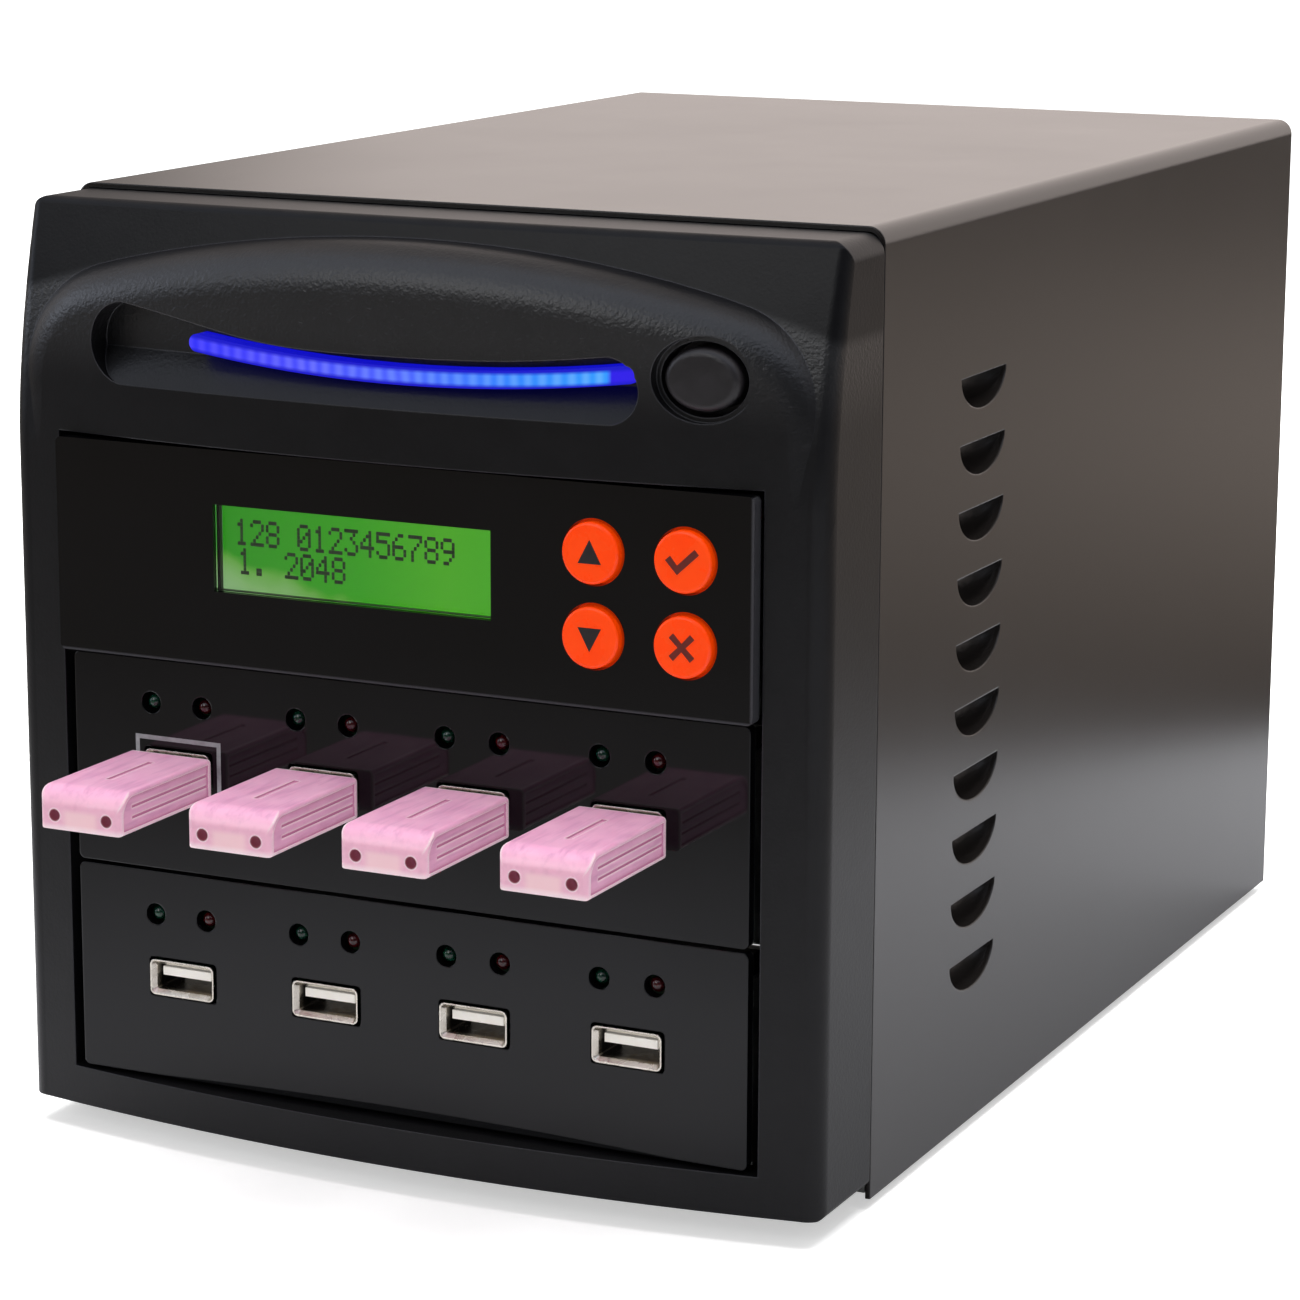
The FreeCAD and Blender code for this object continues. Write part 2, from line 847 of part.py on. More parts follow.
def light_bar():
    strip = prism_y(bar_outline(), (-bow_height - 1, bar_back))
    front = -bow_height + bar_behind_face
    back = bar_back + 1
    room = on_bow([(front, bezel_bottom), (back, bezel_bottom), (back, bezel_top), (front, bezel_top)])
    return strip.common(room)


def front_board():
    x = (front_board_left, front_board_right)
    z = (front_board_bottom, front_board_top)
    board = block(x, (front_board_y, front_board_y + board_thickness), z)
    through = (front_board_y - 1, front_board_y + board_thickness + 1)
    pieces = [board.cut([hole_y(a, b, through) for a, b in front_board_posts()])]
    half = bar_lamp_side / 2
    y = (front_board_y - bar_lamp_height, front_board_y)
    for i in range(bar_lamp_count):
        px, pz = bar_arc_point((i + 0.5) / bar_lamp_count)
        pieces.append(block((px - half, px + half), y, (pz - half, pz + half)))
    return Part.makeCompound(pieces)


def power_button():
    face = bow_y(button_x) - button_proud
    cap = oval_y(button_width, button_height, button_x, button_z, (face, button_flange_back))
    front_edges = [e for e in cap.Edges if e.CenterOfMass.y < face + 0.01]
    cap = cap.makeFillet(button_dome, front_edges)
    collar = oval_y(button_width + 2 * button_flange, button_height + 2 * button_flange, button_x, button_z,
                    (button_flange_front(), button_flange_back))
    hollow = oval_y(button_width - 2 * bezel_wall, button_height - 2 * bezel_wall, button_x, button_z,
                    (face + bezel_wall, button_flange_back + 1))
    stem_end = front_board_y - switch_height + stem_in_switch
    stem = rod_y(stem_radius, button_x, button_z, (face + bezel_wall - 0.5, stem_end))
    return cap.fuse(collar).cut(hollow).fuse(stem)


def power_switch():
    half = switch_side / 2
    body = block((button_x - half, button_x + half), (front_board_y - switch_height, front_board_y),
                 (button_z - half, button_z + half))
    depth = stem_in_switch + button_travel + slip
    bore = rod_y(stem_radius + switch_stem_gap, button_x, button_z,
                 (front_board_y - switch_height - 1, front_board_y - switch_height + depth))
    return body.cut(bore)


# Fascias of the bays

def bay_z(index):
    """Lower and upper edge of a bay's fascia."""
    low = bay_bottom + index * bay_pitch
    return (low, low + fascia_height)


def fascia_panel(width, front, back, index):
    """Flat panel with a rim behind it that fits inside the tray."""
    z = bay_z(index)
    half = width / 2
    panel = rounded_y((-half, half), z, (front, back), fascia_corner)
    tray_inner = tray_half - sheet - tray_slip
    low = z[0] + tray_lift + sheet + tray_slip
    high = z[1] - fascia_rim
    outer = block((-tray_inner, tray_inner), (back, back + fascia_rim_depth), (low, high))
    inner = block((-tray_inner + fascia_rim, tray_inner - fascia_rim), (back, back + fascia_rim_depth + 1),
                  (low + fascia_rim, high - fascia_rim))
    return panel.fuse(outer.cut(inner))


def port_fascia(index):
    panel = fascia_panel(bay_width, 0.0, fascia_thickness, index)
    z = port_zs()[index]
    tools = []
    through = (-1, fascia_thickness + 1)
    half_w = shell_width / 2 + lip_reach + port_window_gap
    half_h = shell_height / 2 + lip_reach + port_window_gap
    for x in port_xs():
        tools.append(rounded_y((x - half_w, x + half_w), (z - half_h, z + half_h), through,
                               port_window_corner))
        for offset in (green_offset, red_offset):
            tools.append(rod_y(lamp_hole_radius, x + offset, z + lamp_rise, through))
    return panel.cut(tools)


def port_board(index):
    z = bay_z(index)
    half = tray_half - port_board_margin
    middle = (z[0] + z[1]) / 2
    board = block((-half, half), (port_board_y, port_board_y + board_thickness),
                  (middle - port_board_height / 2, middle + port_board_height / 2))
    through = (port_board_y - 1, port_board_y + board_thickness + 1)
    holes = [hole_y(x, h, through) for x, h in board_screws(index)]
    return board.cut(holes)


def board_screws(index):
    """Screw places of the board in a bay."""
    z = bay_z(index)
    middle = (z[0] + z[1]) / 2
    x = tray_half - port_board_margin - board_screw_inset
    h = port_board_height / 2 - board_screw_inset
    return [(a * x, middle + b * h) for a in (-1, 1) for b in (-1, 1)]


def usb_shell(x, z):
    """One port shell: a square tube with lips flared at its mouth."""
    front = -shell_proud
    neck = front + lip_depth
    layers = []
    for wall, overrun in ((0.0, 0), (shell_wall, 1)):
        half_w = shell_width / 2 - wall
        half_h = shell_height / 2 - wall
        corner = shell_corner - wall / 2
        y = (neck - overrun, port_board_y + overrun)
        tube = rounded_y((x - half_w, x + half_w), (z - half_h, z + half_h), y, corner)
        wide = rounded_wire(x, z, half_w + lip_reach, half_h + lip_reach, lip_corner - wall / 2, front)
        narrow = rounded_wire(x, z, half_w, half_h, corner, neck)
        layers.append((tube, Part.makeLoft([wide, narrow], True, True)))
    outer, inner = layers
    return outer[0].cut(inner[0]).fuse(outer[1].cut(inner[1]))


def rounded_wire(x, z, half_w, half_h, radius, y):
    """Closed rounded rectangle across Y, from its four sides and corner arcs."""
    bend = radius * (1 - math.sqrt(0.5))
    left, right, low, high = x - half_w, x + half_w, z - half_h, z + half_h
    edges = [line((left + radius, low), (right - radius, low))]
    edges.append(arc((right - radius, low), (right - bend, low + bend), (right, low + radius)))
    edges.append(line((right, low + radius), (right, high - radius)))
    edges.append(arc((right, high - radius), (right - bend, high - bend), (right - radius, high)))
    edges.append(line((right - radius, high), (left + radius, high)))
    edges.append(arc((left + radius, high), (left + bend, high - bend), (left, high - radius)))
    edges.append(line((left, high - radius), (left, low + radius)))
    edges.append(arc((left, low + radius), (left + bend, low + bend), (left + radius, low)))
    wire = Part.Wire(edges)
    wire.translate(V(0, y, 0))
    return wire


def usb_shells(index):
    z = port_zs()[index]
    return Part.makeCompound([usb_shell(x, z) for x in port_xs()])


def usb_tongue(x, z):
    """Tongue of one port, with the block that closes its shell at the back."""
    half_w = shell_width / 2 - shell_wall - shell_seat_gap
    half_h = shell_height / 2 - shell_wall - shell_seat_gap
    y = (port_board_y - tongue_block, port_board_y)
    rear = rounded_y((x - half_w, x + half_w), (z - half_h, z + half_h), y, tongue_block_corner)
    half = tongue_width / 2
    return rear.fuse(block((x - half, x + half), (tongue_front, y[0]), (z, z + tongue_thickness)))


def usb_tongues():
    return Part.makeCompound([usb_tongue(x, z) for z in port_zs() for x in port_xs()])


def usb_contacts():
    strips = []
    half = contact_width / 2
    y = (tongue_front + contact_setback, port_board_y - tongue_block)
    for z in port_zs():
        for x in port_xs():
            for i in range(contact_count):
                cx = x + (i - (contact_count - 1) / 2) * contact_pitch
                strips.append(block((cx - half, cx + half), y, (z - contact_thickness, z)))
    return Part.makeCompound(strips)


def lamp(x, z):
    """Round lamp with a domed front, a collar and two leads to its board."""
    back = lamp_front + lamp_length
    dome = Part.makeSphere(lamp_radius, V(x, lamp_front + lamp_radius, z))
    barrel = rod_y(lamp_radius, x, z, (lamp_front + lamp_radius, back))
    collar = rod_y(lamp_flange_radius, x, z, (back - lamp_flange, back))
    y = (back - lamp_flange / 2, port_board_y)
    leads = [rod_y(lead_radius, x + side * lead_spread / 2, z, y) for side in (-1, 1)]
    return dome.fuse([barrel, collar] + leads)


def lamps(offset):
    return Part.makeCompound([lamp(x + offset, z + lamp_rise) for z in port_zs() for x in port_xs()])


# Control panel

def control_fascia():
    panel = fascia_panel(control_width, control_front, control_back, bay_count - 1)
    through = (control_front - 1, control_back + 1)
    window = block((window_left, window_right), through, (window_bottom, window_top))
    ledge = block((window_left - window_lip, window_right + window_lip),
                  (control_front + window_recess + window_step, control_back + 1),
                  (window_bottom - window_lip, window_top + window_lip))
    keys = [rod_y(key_radius + key_gap, x, z, through) for x, z in key_places().values()]
    return panel.cut([window, ledge] + keys)


def display_window():
    front = control_front + window_recess
    clear = block((window_left + window_gap, window_right - window_gap), (front, control_back),
                  (window_bottom + window_gap, window_top - window_gap))
    lip = window_lip - window_gap
    foot = block((window_left - lip, window_right + lip), (front + window_step, control_back),
                 (window_bottom - lip, window_top + lip))
    return clear.fuse(foot)


def display_box(inset):
    """X and Z limits of the display, inset from its metal frame."""
    x = (window_left + window_right) / 2
    z = (window_bottom + window_top) / 2
    half_w = display_width / 2 - inset
    half_h = display_height / 2 - inset
    return (x - half_w, x + half_w), (z - half_h, z + half_h)


def display_frame():
    x, z = display_box(0.0)
    front = control_back + display_gap
    tray = block(x, (front, control_board_y), z)
    xi, zi = display_box(display_sheet)
    inside = block(xi, (front + display_sheet, control_board_y + 1), zi)
    view = block((window_left, window_right), (front - 1, control_board_y), (window_bottom, window_top))
    return tray.cut([inside, view])


def display_glass():
    x, z = display_box(display_sheet + window_gap)
    front = control_back + display_gap + display_sheet
    glass = block(x, (front, front + display_glass_depth), z)
    backlight = block(x, (front + display_glass_depth, control_board_y), z)
    return glass.fuse(backlight).removeSplitter()


def control_board():
    index = bay_count - 1
    z = bay_z(index)
    middle = (z[0] + z[1]) / 2
    half = control_board_width / 2
    board = block((-half, half), (control_board_y, control_board_y + board_thickness),
                  (middle - control_board_height / 2, middle + control_board_height / 2))
    through = (control_board_y - 1, control_board_y + board_thickness + 1)
    return board.cut([hole_y(x, h, through) for x, h in board_screws(index)])


def key_switches():
    bodies = []
    half = key_switch_side / 2
    front = control_board_y - key_switch_height
    depth = key_stem_in_switch + key_travel + key_fit
    for x, z in key_places().values():
        body = block((x - half, x + half), (front, control_board_y), (z - half, z + half))
        bodies.append(body.cut(rod_y(key_stem_radius + key_fit, x, z, (front - 1, front + depth))))
    return Part.makeCompound(bodies)


def key(name):
    x, z = key_places()[name]
    front = control_front - key_proud
    flange_front = control_back + key_behind
    cap = rod_y(key_radius, x, z, (front, flange_front + key_flange_thickness))
    edges = [e for e in cap.Edges if e.CenterOfMass.y < front + 0.01]
    cap = cap.makeFillet(key_edge, edges)
    flange = rod_y(key_radius + key_flange, x, z, (flange_front, flange_front + key_flange_thickness))
    stem_end = control_board_y - key_switch_height + key_stem_in_switch
    stem = rod_y(key_stem_radius, x, z, (flange_front, stem_end))
    return cap.fuse([flange, stem])


# Trays, cage and frames

def tray(index):
    z0 = bay_z(index)[0] + tray_lift
    start = control_back if index == bay_count - 1 else fascia_thickness
    back = start + tray_depth
    pan = block((-tray_half, tray_half), (start, back), (z0, z0 + sheet))
    wall = block((tray_half - sheet, tray_half), (start, back), (z0, z0 + tray_height))
    face = block((-tray_half, tray_half), (tray_front_wall, tray_front_wall + sheet), (z0, z0 + tray_height))
    body = pan.fuse([face] + both_sides(wall))
    z = bay_z(index)
    middle = (z[0] + z[1]) / 2
    ribbon_x = ribbon_place(index)
    gap = ribbon_width / 2 + ribbon_gate_margin
    gate = block((ribbon_x - gap, ribbon_x + gap), (tray_front_wall - 1, tray_front_wall + sheet + 1),
                 (middle - ribbon_gate_height / 2, middle + ribbon_gate_height / 2))
    body = body.cut(gate)
    plane = control_board_y if index == bay_count - 1 else port_board_y
    for x, h in board_screws(index):
        post = rod_y(standoff_radius, x, h, (plane + board_thickness, tray_front_wall))
        body = body.fuse(post)
        body = body.cut(hole_y(x, h, (plane, tray_front_wall + sheet + 1)))
    for y in tray_screw_spots:
        spot = (frame_back + y, z0 + tray_screw_height)
        start = (tray_half - 2 * sheet,) + spot
        body = body.cut(both_sides(rod(hole_radius, start, (tray_half + sheet,) + spot)))
    if index == bay_count - 1:
        for x, y in controller_posts():
            body = body.fuse(Part.makeCylinder(standoff_radius, standoff_height, V(x, y, z0 + sheet)))
            body = body.cut(Part.makeCylinder(hole_radius, standoff_height + sheet + 2, V(x, y, z0 - 1)))
    return body


def ribbon_place(index):
    """X of the ribbon that leaves a bay."""
    return (ribbon_lower_x, ribbon_upper_x, (ribbon_lower_x + ribbon_upper_x) / 2)[index]


def controller_z():
    """Underside of the controller board."""
    return bay_z(bay_count - 1)[0] + tray_lift + sheet + standoff_height


def controller_posts():
    """Posts under the controller board."""
    x = controller_width / 2 - board_screw_inset
    ys = (controller_front + board_screw_inset, controller_front + controller_depth - board_screw_inset)
    return [(s * x, y) for s in (-1, 1) for y in ys]


def controller_board():
    half = controller_width / 2
    z = controller_z()
    y = (controller_front, controller_front + controller_depth)
    board = block((-half, half), y, (z, z + board_thickness))
    through = 2 * board_thickness
    holes = [Part.makeCylinder(hole_radius, through, V(a, b, z - 1)) for a, b in controller_posts()]
    board = board.cut(holes)
    top = z + board_thickness
    chip = chip_side / 2
    middle_y = (y[0] + y[1]) / 2
    pieces = [board, block((-chip, chip), (middle_y - chip, middle_y + chip), (top, top + chip_height))]
    for x, width in header_places():
        pieces.append(block((x - width / 2, x + width / 2), (y[1] - header_depth, y[1]),
                            (top, top + header_height)))
    chip_y = (y[0] + small_chip_from_front, y[0] + small_chip_from_front + small_chip_depth)
    for i in range(small_chip_count):
        x = -half + small_chip_from_side + i * small_chip_pitch
        pieces.append(block((x, x + small_chip_width), chip_y, (top, top + small_chip_height)))
    for i in range(capacitor_count):
        spot = V(half - capacitor_from_side, y[0] + capacitor_from_front + i * capacitor_pitch, top)
        pieces.append(Part.makeCylinder(capacitor_radius, capacitor_height, spot))
    return Part.makeCompound(pieces)


def header_places():
    """X and width of each connector on the controller board's back edge."""
    ribbon_header = ribbon_width + 2 * header_margin
    return [(ribbon_lower_x, ribbon_header), (ribbon_upper_x, ribbon_header), (harness_x, 4 * harness_radius)]


def heat_sink():
    y = controller_front + controller_depth / 2
    z = controller_z() + board_thickness + chip_height
    half = sink_side / 2
    sink = block((-half, half), (y - half, y + half), (z, z + sink_base))
    fins = []
    for i in range(sink_fins):
        x = -half + i * (sink_side - sink_fin) / (sink_fins - 1)
        fins.append(block((x, x + sink_fin), (y - half, y + half), (z + sink_base, z + sink_height)))
    return sink.fuse(fins).removeSplitter()


def bay_cage():
    z = (floor_top, bays_top + cage_above)
    plate = block((cage_inner, cage_outer), (frame_back, cage_back), z)
    foot = block((cage_outer, cage_outer + cage_foot), (frame_back + frame_flange + 1, cage_back),
                 (z[0], z[0] + sheet))
    front = block((cage_outer, cage_outer + cage_front_flange), (frame_back, frame_back + sheet),
                  (z[0] + 2 * sheet, z[1]))
    notch = block((cage_inner - 1, cage_outer + 1), (frame_back - 1, frame_back + frame_flange),
                  (z[0] - 1, z[0] + sheet))
    side = plate.fuse([foot, front]).cut(notch)
    for index in range(bay_count):
        low = bay_z(index)[0] + tray_lift
        for y in ledge_spots:
            y0 = frame_back + y
            ledge = block((cage_inner - ledge_width, cage_inner), (y0, y0 + ledge_length), (low - sheet, low))
            side = side.fuse(ledge)
        for y in tray_screw_spots:
            spot = (frame_back + y, low + tray_screw_height)
            side = side.cut(rod(hole_radius, (cage_inner - 2,) + spot, (cage_outer + 2,) + spot))
    return Part.makeCompound(both_sides(side))


def chassis_base():
    y = (cover_front + slip, rear_panel_back - slip)
    plate = block((-inner_half, inner_half), y, (floor_bottom, floor_top))
    lip = block((inner_half - sheet, inner_half), y, (floor_bottom, floor_top + base_lip))
    base = plate.fuse(both_sides(lip))
    start = floor_bottom - sheet
    holes = [Part.makeCylinder(hole_radius, 4 * sheet, V(x, b, start)) for x, b in foot_places()]
    half = base_slot_length / 2
    for row in range(base_slot_count):
        middle = (y[0] + y[1]) / 2 + (row - (base_slot_count - 1) / 2) * base_slot_pitch
        holes.append(block((-half, half), (middle - base_slot_width / 2, middle + base_slot_width / 2),
                           (floor_bottom - 1, floor_top + 1)))
    return base.cut(holes)


def upright_panel(y, inwards, z_top):
    """Sheet panel across the case with flanges on all sides; inwards is the flanges' direction along Y."""
    low = floor_top
    far = y[1] if inwards > 0 else y[0]
    flange_y = (far, far + frame_flange) if inwards > 0 else (far - frame_flange, far)
    plate = block((-inner_half, inner_half), y, (low, z_top))
    notch = block((inner_half - sheet - slip, inner_half + 1), (y[0] - 1, y[1] + 1),
                  (low - 1, low + base_lip + slip))
    plate = plate.cut(both_sides(notch))
    top = block((-inner_half, inner_half), flange_y, (z_top - sheet, z_top))
    bottom = block((-inner_half + 3, inner_half - 3), flange_y, (low, low + sheet))
    side = block((inner_half - sheet, inner_half), flange_y, (low + base_lip + slip, z_top))
    panel = plate.fuse([top, bottom] + both_sides(side))
    span = (y[0] - frame_flange - 1, y[1] + frame_flange + 1)
    room = rounded_cover(inner_half, z_top, cover_corner - sheet, span)
    return panel.common(room)


def front_frame():
    frame = upright_panel((frame_front, frame_back), 1, inner_top)
    bays = block((-cage_inner, cage_inner), (frame_front - 1, frame_back + 1),
                 (bay_bottom - slip, bays_top + slip))
    leads = block((lead_cut_left, lead_cut_right), (frame_front - 1, frame_back + 1),
                  (lead_cut_bottom, lead_cut_top))
    tools = [bays, leads]
    side = half_case - bezel_wall
    x = (opening_half + opening_wall + side) / 2
    for z in clip_heights:
        slot = block((x - clip_thickness / 2 - slip, x + clip_thickness / 2 + slip),
                     (frame_front - 1, frame_front + frame_flange + 2),
                     (z - clip_width / 2 - slip, z + clip_width / 2 + slip))
        tools += both_sides(slot)
    return frame.cut(tools)


def rear_panel():
    panel = upright_panel((rear_panel_front, rear_panel_back), -1, inner_top)
    y = (rear_panel_front - 1, rear_panel_back + 1)
    tools = [block((inlet_x - inlet_width / 2 - inlet_flange - slip, psu_right - psu_opening_right), y,
                   (psu_bottom + psu_opening_low, psu_bottom + psu_opening_high))]
    tools.append(rod_y(fan_duct_radius + guard_opening_gap, psu_fan_x, psu_fan_z, y))
    tools.append(rod_y(fan_duct_radius, case_fan_x, case_fan_z, y))
    for i in range(vent_count):
        z = vent_bottom + i * vent_pitch
        tools.append(rounded_y((vent_left, vent_right), (z - vent_width / 2, z + vent_width / 2), y,
                               vent_corner))
    places = psu_screw_places() + cover_screw_places()
    places += fan_corners(case_fan_x, case_fan_z) + fan_corners(psu_fan_x, psu_fan_z)
    tools += [hole_y(x, z, y) for x, z in places]
    return panel.cut(tools)


def cover_shell():
    y = (cover_front, cover_rear)
    outer = rounded_cover(half_case, case_height, cover_corner, y)
    room = (y[0] - 1, cover_rear - sheet)
    inner = rounded_cover(half_case - sheet, case_height - sheet, cover_corner - sheet, room)
    gate = block((-half_case + rear_lip, half_case - rear_lip), (cover_rear - 2 * sheet, cover_rear + 1),
                 (-1, case_height - sheet))
    run = (cover_front + floor_lip_setback, cover_rear - sheet)
    lip = block((half_case - floor_lip, half_case - sheet), run, (0, sheet))
    shell = outer.cut([inner, gate]).fuse(both_sides(lip))
    dishes, mouths = louvres()
    holes = [hole_y(x, z, (cover_rear - 2 * sheet, cover_rear + 1)) for x, z in cover_screw_places()]
    return shell.cut(holes + mouths).fuse(dishes)


def rounded_cover(half, top, corner, y):
    """Block as wide and high as the cover, with its two upper long edges rounded."""
    body = block((-half, half), y, (0.0, top))
    edges = [e for e in body.Edges if abs(e.tangentAt(e.FirstParameter).y) > 0.99]
    edges = [e for e in edges if e.CenterOfMass.z > top - 1]
    return body.makeFillet(corner, edges)


def half_oval(long_half, radius):
    """Half ellipse in the XY plane, long axis along Y, bulging towards -X."""
    oval = Part.Ellipse(V(0, long_half, 0), V(-radius, 0, 0), V(0, 0, 0))
    bow = Part.Arc(oval, 0, math.pi).toShape()
    return Part.Face(Part.Wire([bow, Part.LineSegment(V(0, -long_half, 0), V(0, long_half, 0)).toShape()]))


def louvres():
    """Dished louvres of both sides, pressed inwards and open upwards, and the mouths to cut for them."""
    mouth = half_oval(louvre_width / 2, louvre_height)
    rim = half_oval(louvre_width / 2 + sheet, louvre_height + sheet).cut(mouth)
    dishes = []
    mouths = []
    for i in range(louvre_count):
        centre = V(0, cover_front + louvre_from_seam, louvre_top - i * louvre_pitch)
        for profile, target in ((rim, dishes), (mouth, mouths)):
            for turn in (0, 180):
                quarter = profile.revolve(V(0, 0, 0), V(0, -1, 0), 90)
                quarter.translate(V(half_case, 0, 0))
                quarter.rotate(V(0, 0, 0), V(0, 0, 1), turn)
                quarter.translate(centre)
                target.append(quarter)
    return dishes, mouths


# Power supply

def psu_case():
    x = (psu_left, psu_right)
    z = (psu_bottom, psu_top)
    t = psu_sheet
    bottom = block(x, (psu_front, psu_back), (z[0], z[0] + t))
    back = block(x, (psu_back - t, psu_back), z)
    front = block(x, (psu_front, psu_front + t), z)
    case = bottom.fuse([back, front])
    y = (psu_back - t - 1, psu_back + 1)
    tools = [rod_y(fan_duct_radius, psu_fan_x, psu_fan_z, y)]
    tools.append(block((inlet_x - inlet_width / 2, inlet_x + inlet_width / 2), y,
                       (inlet_z - inlet_height / 2, inlet_z + inlet_height / 2)))
    tools.append(block((inlet_x - rocker_body_width / 2, inlet_x + rocker_body_width / 2), y,
                       (rocker_z - rocker_body_height / 2, rocker_z + rocker_body_height / 2)))
    tools += [hole_y(a, b, y) for a, b in psu_screw_places() + fan_corners(psu_fan_x, psu_fan_z)]
    yf = (psu_front - 1, psu_front + t + 1)
    for i in range(psu_slot_count):
        sx = (i - (psu_slot_count - 1) / 2) * psu_slot_pitch + psu_slot_offset
        tools.append(block((sx - psu_slot_width / 2, sx + psu_slot_width / 2), yf,
                           (psu_fan_z - psu_slot_length / 2, psu_fan_z + psu_slot_length / 2)))
    tools.append(rod_y(harness_radius + harness_hole_gap, harness_x, harness_exit_z(), yf))
    return case.cut(tools)


def psu_lid():
    t = psu_sheet
    y = (psu_front + t, psu_back - t)
    top = block((psu_left, psu_right), y, (psu_top - t, psu_top))
    side = block((psu_right - t, psu_right), y, (psu_bottom + t, psu_top))
    return top.fuse(both_sides(side))


def psu_board():
    z = psu_bottom + psu_sheet + standoff_height
    x = (psu_left + psu_board_margin, psu_right - psu_board_margin)
    y = (psu_front + psu_board_margin, psu_back - fan_depth - psu_board_margin - psu_sheet)
    board = block(x, y, (z, z + board_thickness))
    top = z + board_thickness
    pieces = [board]
    for a in (x[0] + psu_post_inset, x[1] - psu_post_inset):
        for b in (y[0] + psu_post_inset, y[1] - psu_post_inset):
            pieces.append(Part.makeCylinder(standoff_radius, standoff_height, V(a, b, z - standoff_height)))
    middle = (y[0] + y[1]) / 2
    half_w = transformer_width / 2
    half_d = transformer_depth / 2
    pieces.append(block((transformer_x - half_w, transformer_x + half_w), (middle - half_d, middle + half_d),
                        (top, top + transformer_height)))
    half = psu_sink_thickness / 2
    fin = block((psu_sink_x - half, psu_sink_x + half), (y[0] + psu_sink_inset, y[1] - psu_sink_inset),
                (top, top + psu_sink_height))
    pieces += both_sides(fin)
    front = y[0] + psu_part_from_front
    for i in range(2):
        spot = V(psu_left + reservoir_from_side, front + i * reservoir_pitch, top)
        pieces.append(Part.makeCylinder(reservoir_radius, reservoir_height, spot))
        spot = V(psu_right - filter_from_side, front + i * filter_pitch, top)
        pieces.append(Part.makeCylinder(filter_radius, filter_height, spot))
    return Part.makeCompound(pieces)


def fan_frame(x, z, back):
    """Square fan frame with a round duct; struts at its front carry the hub base and shaft."""
    half = fan_side / 2
    front = back - fan_depth
    body = rounded_y((x - half, x + half), (z - half, z + half), (front, back), fan_corner)
    body = body.cut(rod_y(fan_duct_radius, x, z, (front - 1, back + 1)))
    # Between the two flanges only the duct's wall is left at the corners
    post = block((half - fan_post, half + 1), (front + fan_flange, back - fan_flange),
                 (half - fan_post, half + 1))
    duct = rod_y(fan_duct_radius + fan_wall, 0, 0, (front, back))
    for k in range(4):
        pocket = post.cut(duct)
        pocket.rotate(V(0, 0, 0), V(0, 1, 0), 90 * k)
        pocket.translate(V(x, 0, z))
        body = body.cut(pocket)
    base_back = front + fan_base_thickness
    base = rod_y(fan_hub_radius, x, z, (front, base_back))
    struts = []
    for k in range(4):
        strut = block((x, x + fan_duct_radius + 1), (front, base_back),
                      (z - fan_strut / 2, z + fan_strut / 2))
        strut.rotate(V(x, 0, z), V(0, 1, 0), 90 * k + fan_strut_turn)
        struts.append(strut)
    shaft = rod_y(fan_shaft_radius, x, z, (front, base_back + fan_shaft_length))
    body = body.fuse([base, shaft] + struts)
    return body.cut([hole_y(a, b, (front - 1, back + 1)) for a, b in fan_corners(x, z)])


def fan_rotor(x, z, back):
    """Fan wheel: a hub with a bore for the shaft, and twisted blades."""
    front = back - fan_depth + fan_base_thickness + fan_axial_gap
    y = (front, front + fan_rotor_depth)
    hub = rod_y(fan_hub_radius, x, z, y)
    hub = hub.makeFillet(fan_hub_rounding, [e for e in hub.Edges if e.CenterOfMass.y > y[1] - 0.01])
    middle = (y[0] + y[1]) / 2
    reach = fan_rotor_depth / math.cos(math.radians(fan_blade_pitch))
    room = rod_y(fan_blade_radius, x, z, (y[0] + fan_blade_inset, y[1] - fan_blade_inset))
    blades = []
    for k in range(fan_blade_count):
        blade = block((fan_hub_radius - fan_wall, fan_duct_radius), (-reach, reach),
                      (-fan_blade_thickness / 2, fan_blade_thickness / 2))
        blade.rotate(V(0, 0, 0), V(1, 0, 0), fan_blade_pitch)
        blade.rotate(V(0, 0, 0), V(0, 1, 0), k * 360.0 / fan_blade_count)
        blade.translate(V(x, middle, z))
        blades.append(blade.common(room))
    wheel = hub.fuse(blades)
    return wheel.cut(rod_y(fan_shaft_radius + fan_fit, x, z, (y[0] - 1, front + fan_shaft_length)))


def fan_guard(x, z, seat):
    """Round wire guard that stands on a panel: rings on four wires that end in eyes."""
    y_spoke = seat + guard_wire
    y_ring = y_spoke + 2 * guard_wire - guard_ring_lift
    wires = [Part.makeTorus(r, guard_wire, V(x, y_ring, z), V(0, 1, 0)) for r in guard_rings]
    eye = screw_radius + guard_wire + guard_eye_gap
    for a, b in fan_corners(x, z):
        wires.append(Part.makeTorus(eye, guard_wire, V(a, y_spoke, b), V(0, 1, 0)))
        out = V(a - x, 0, b - z)
        out.normalize()
        start = V(x, y_spoke, z) + out * (guard_rings[0] - guard_wire)
        stop = V(a, y_spoke, b) - out * eye
        wires.append(rod(guard_wire, tuple(start), tuple(stop)))
    return wires[0].fuse(wires[1:])


def fan_guards():
    case_guard = fan_guard(case_fan_x, case_fan_z, rear_panel_back)
    psu_guard = fan_guard(psu_fan_x, psu_fan_z, rear_panel_back)
    return Part.makeCompound([case_guard, psu_guard])


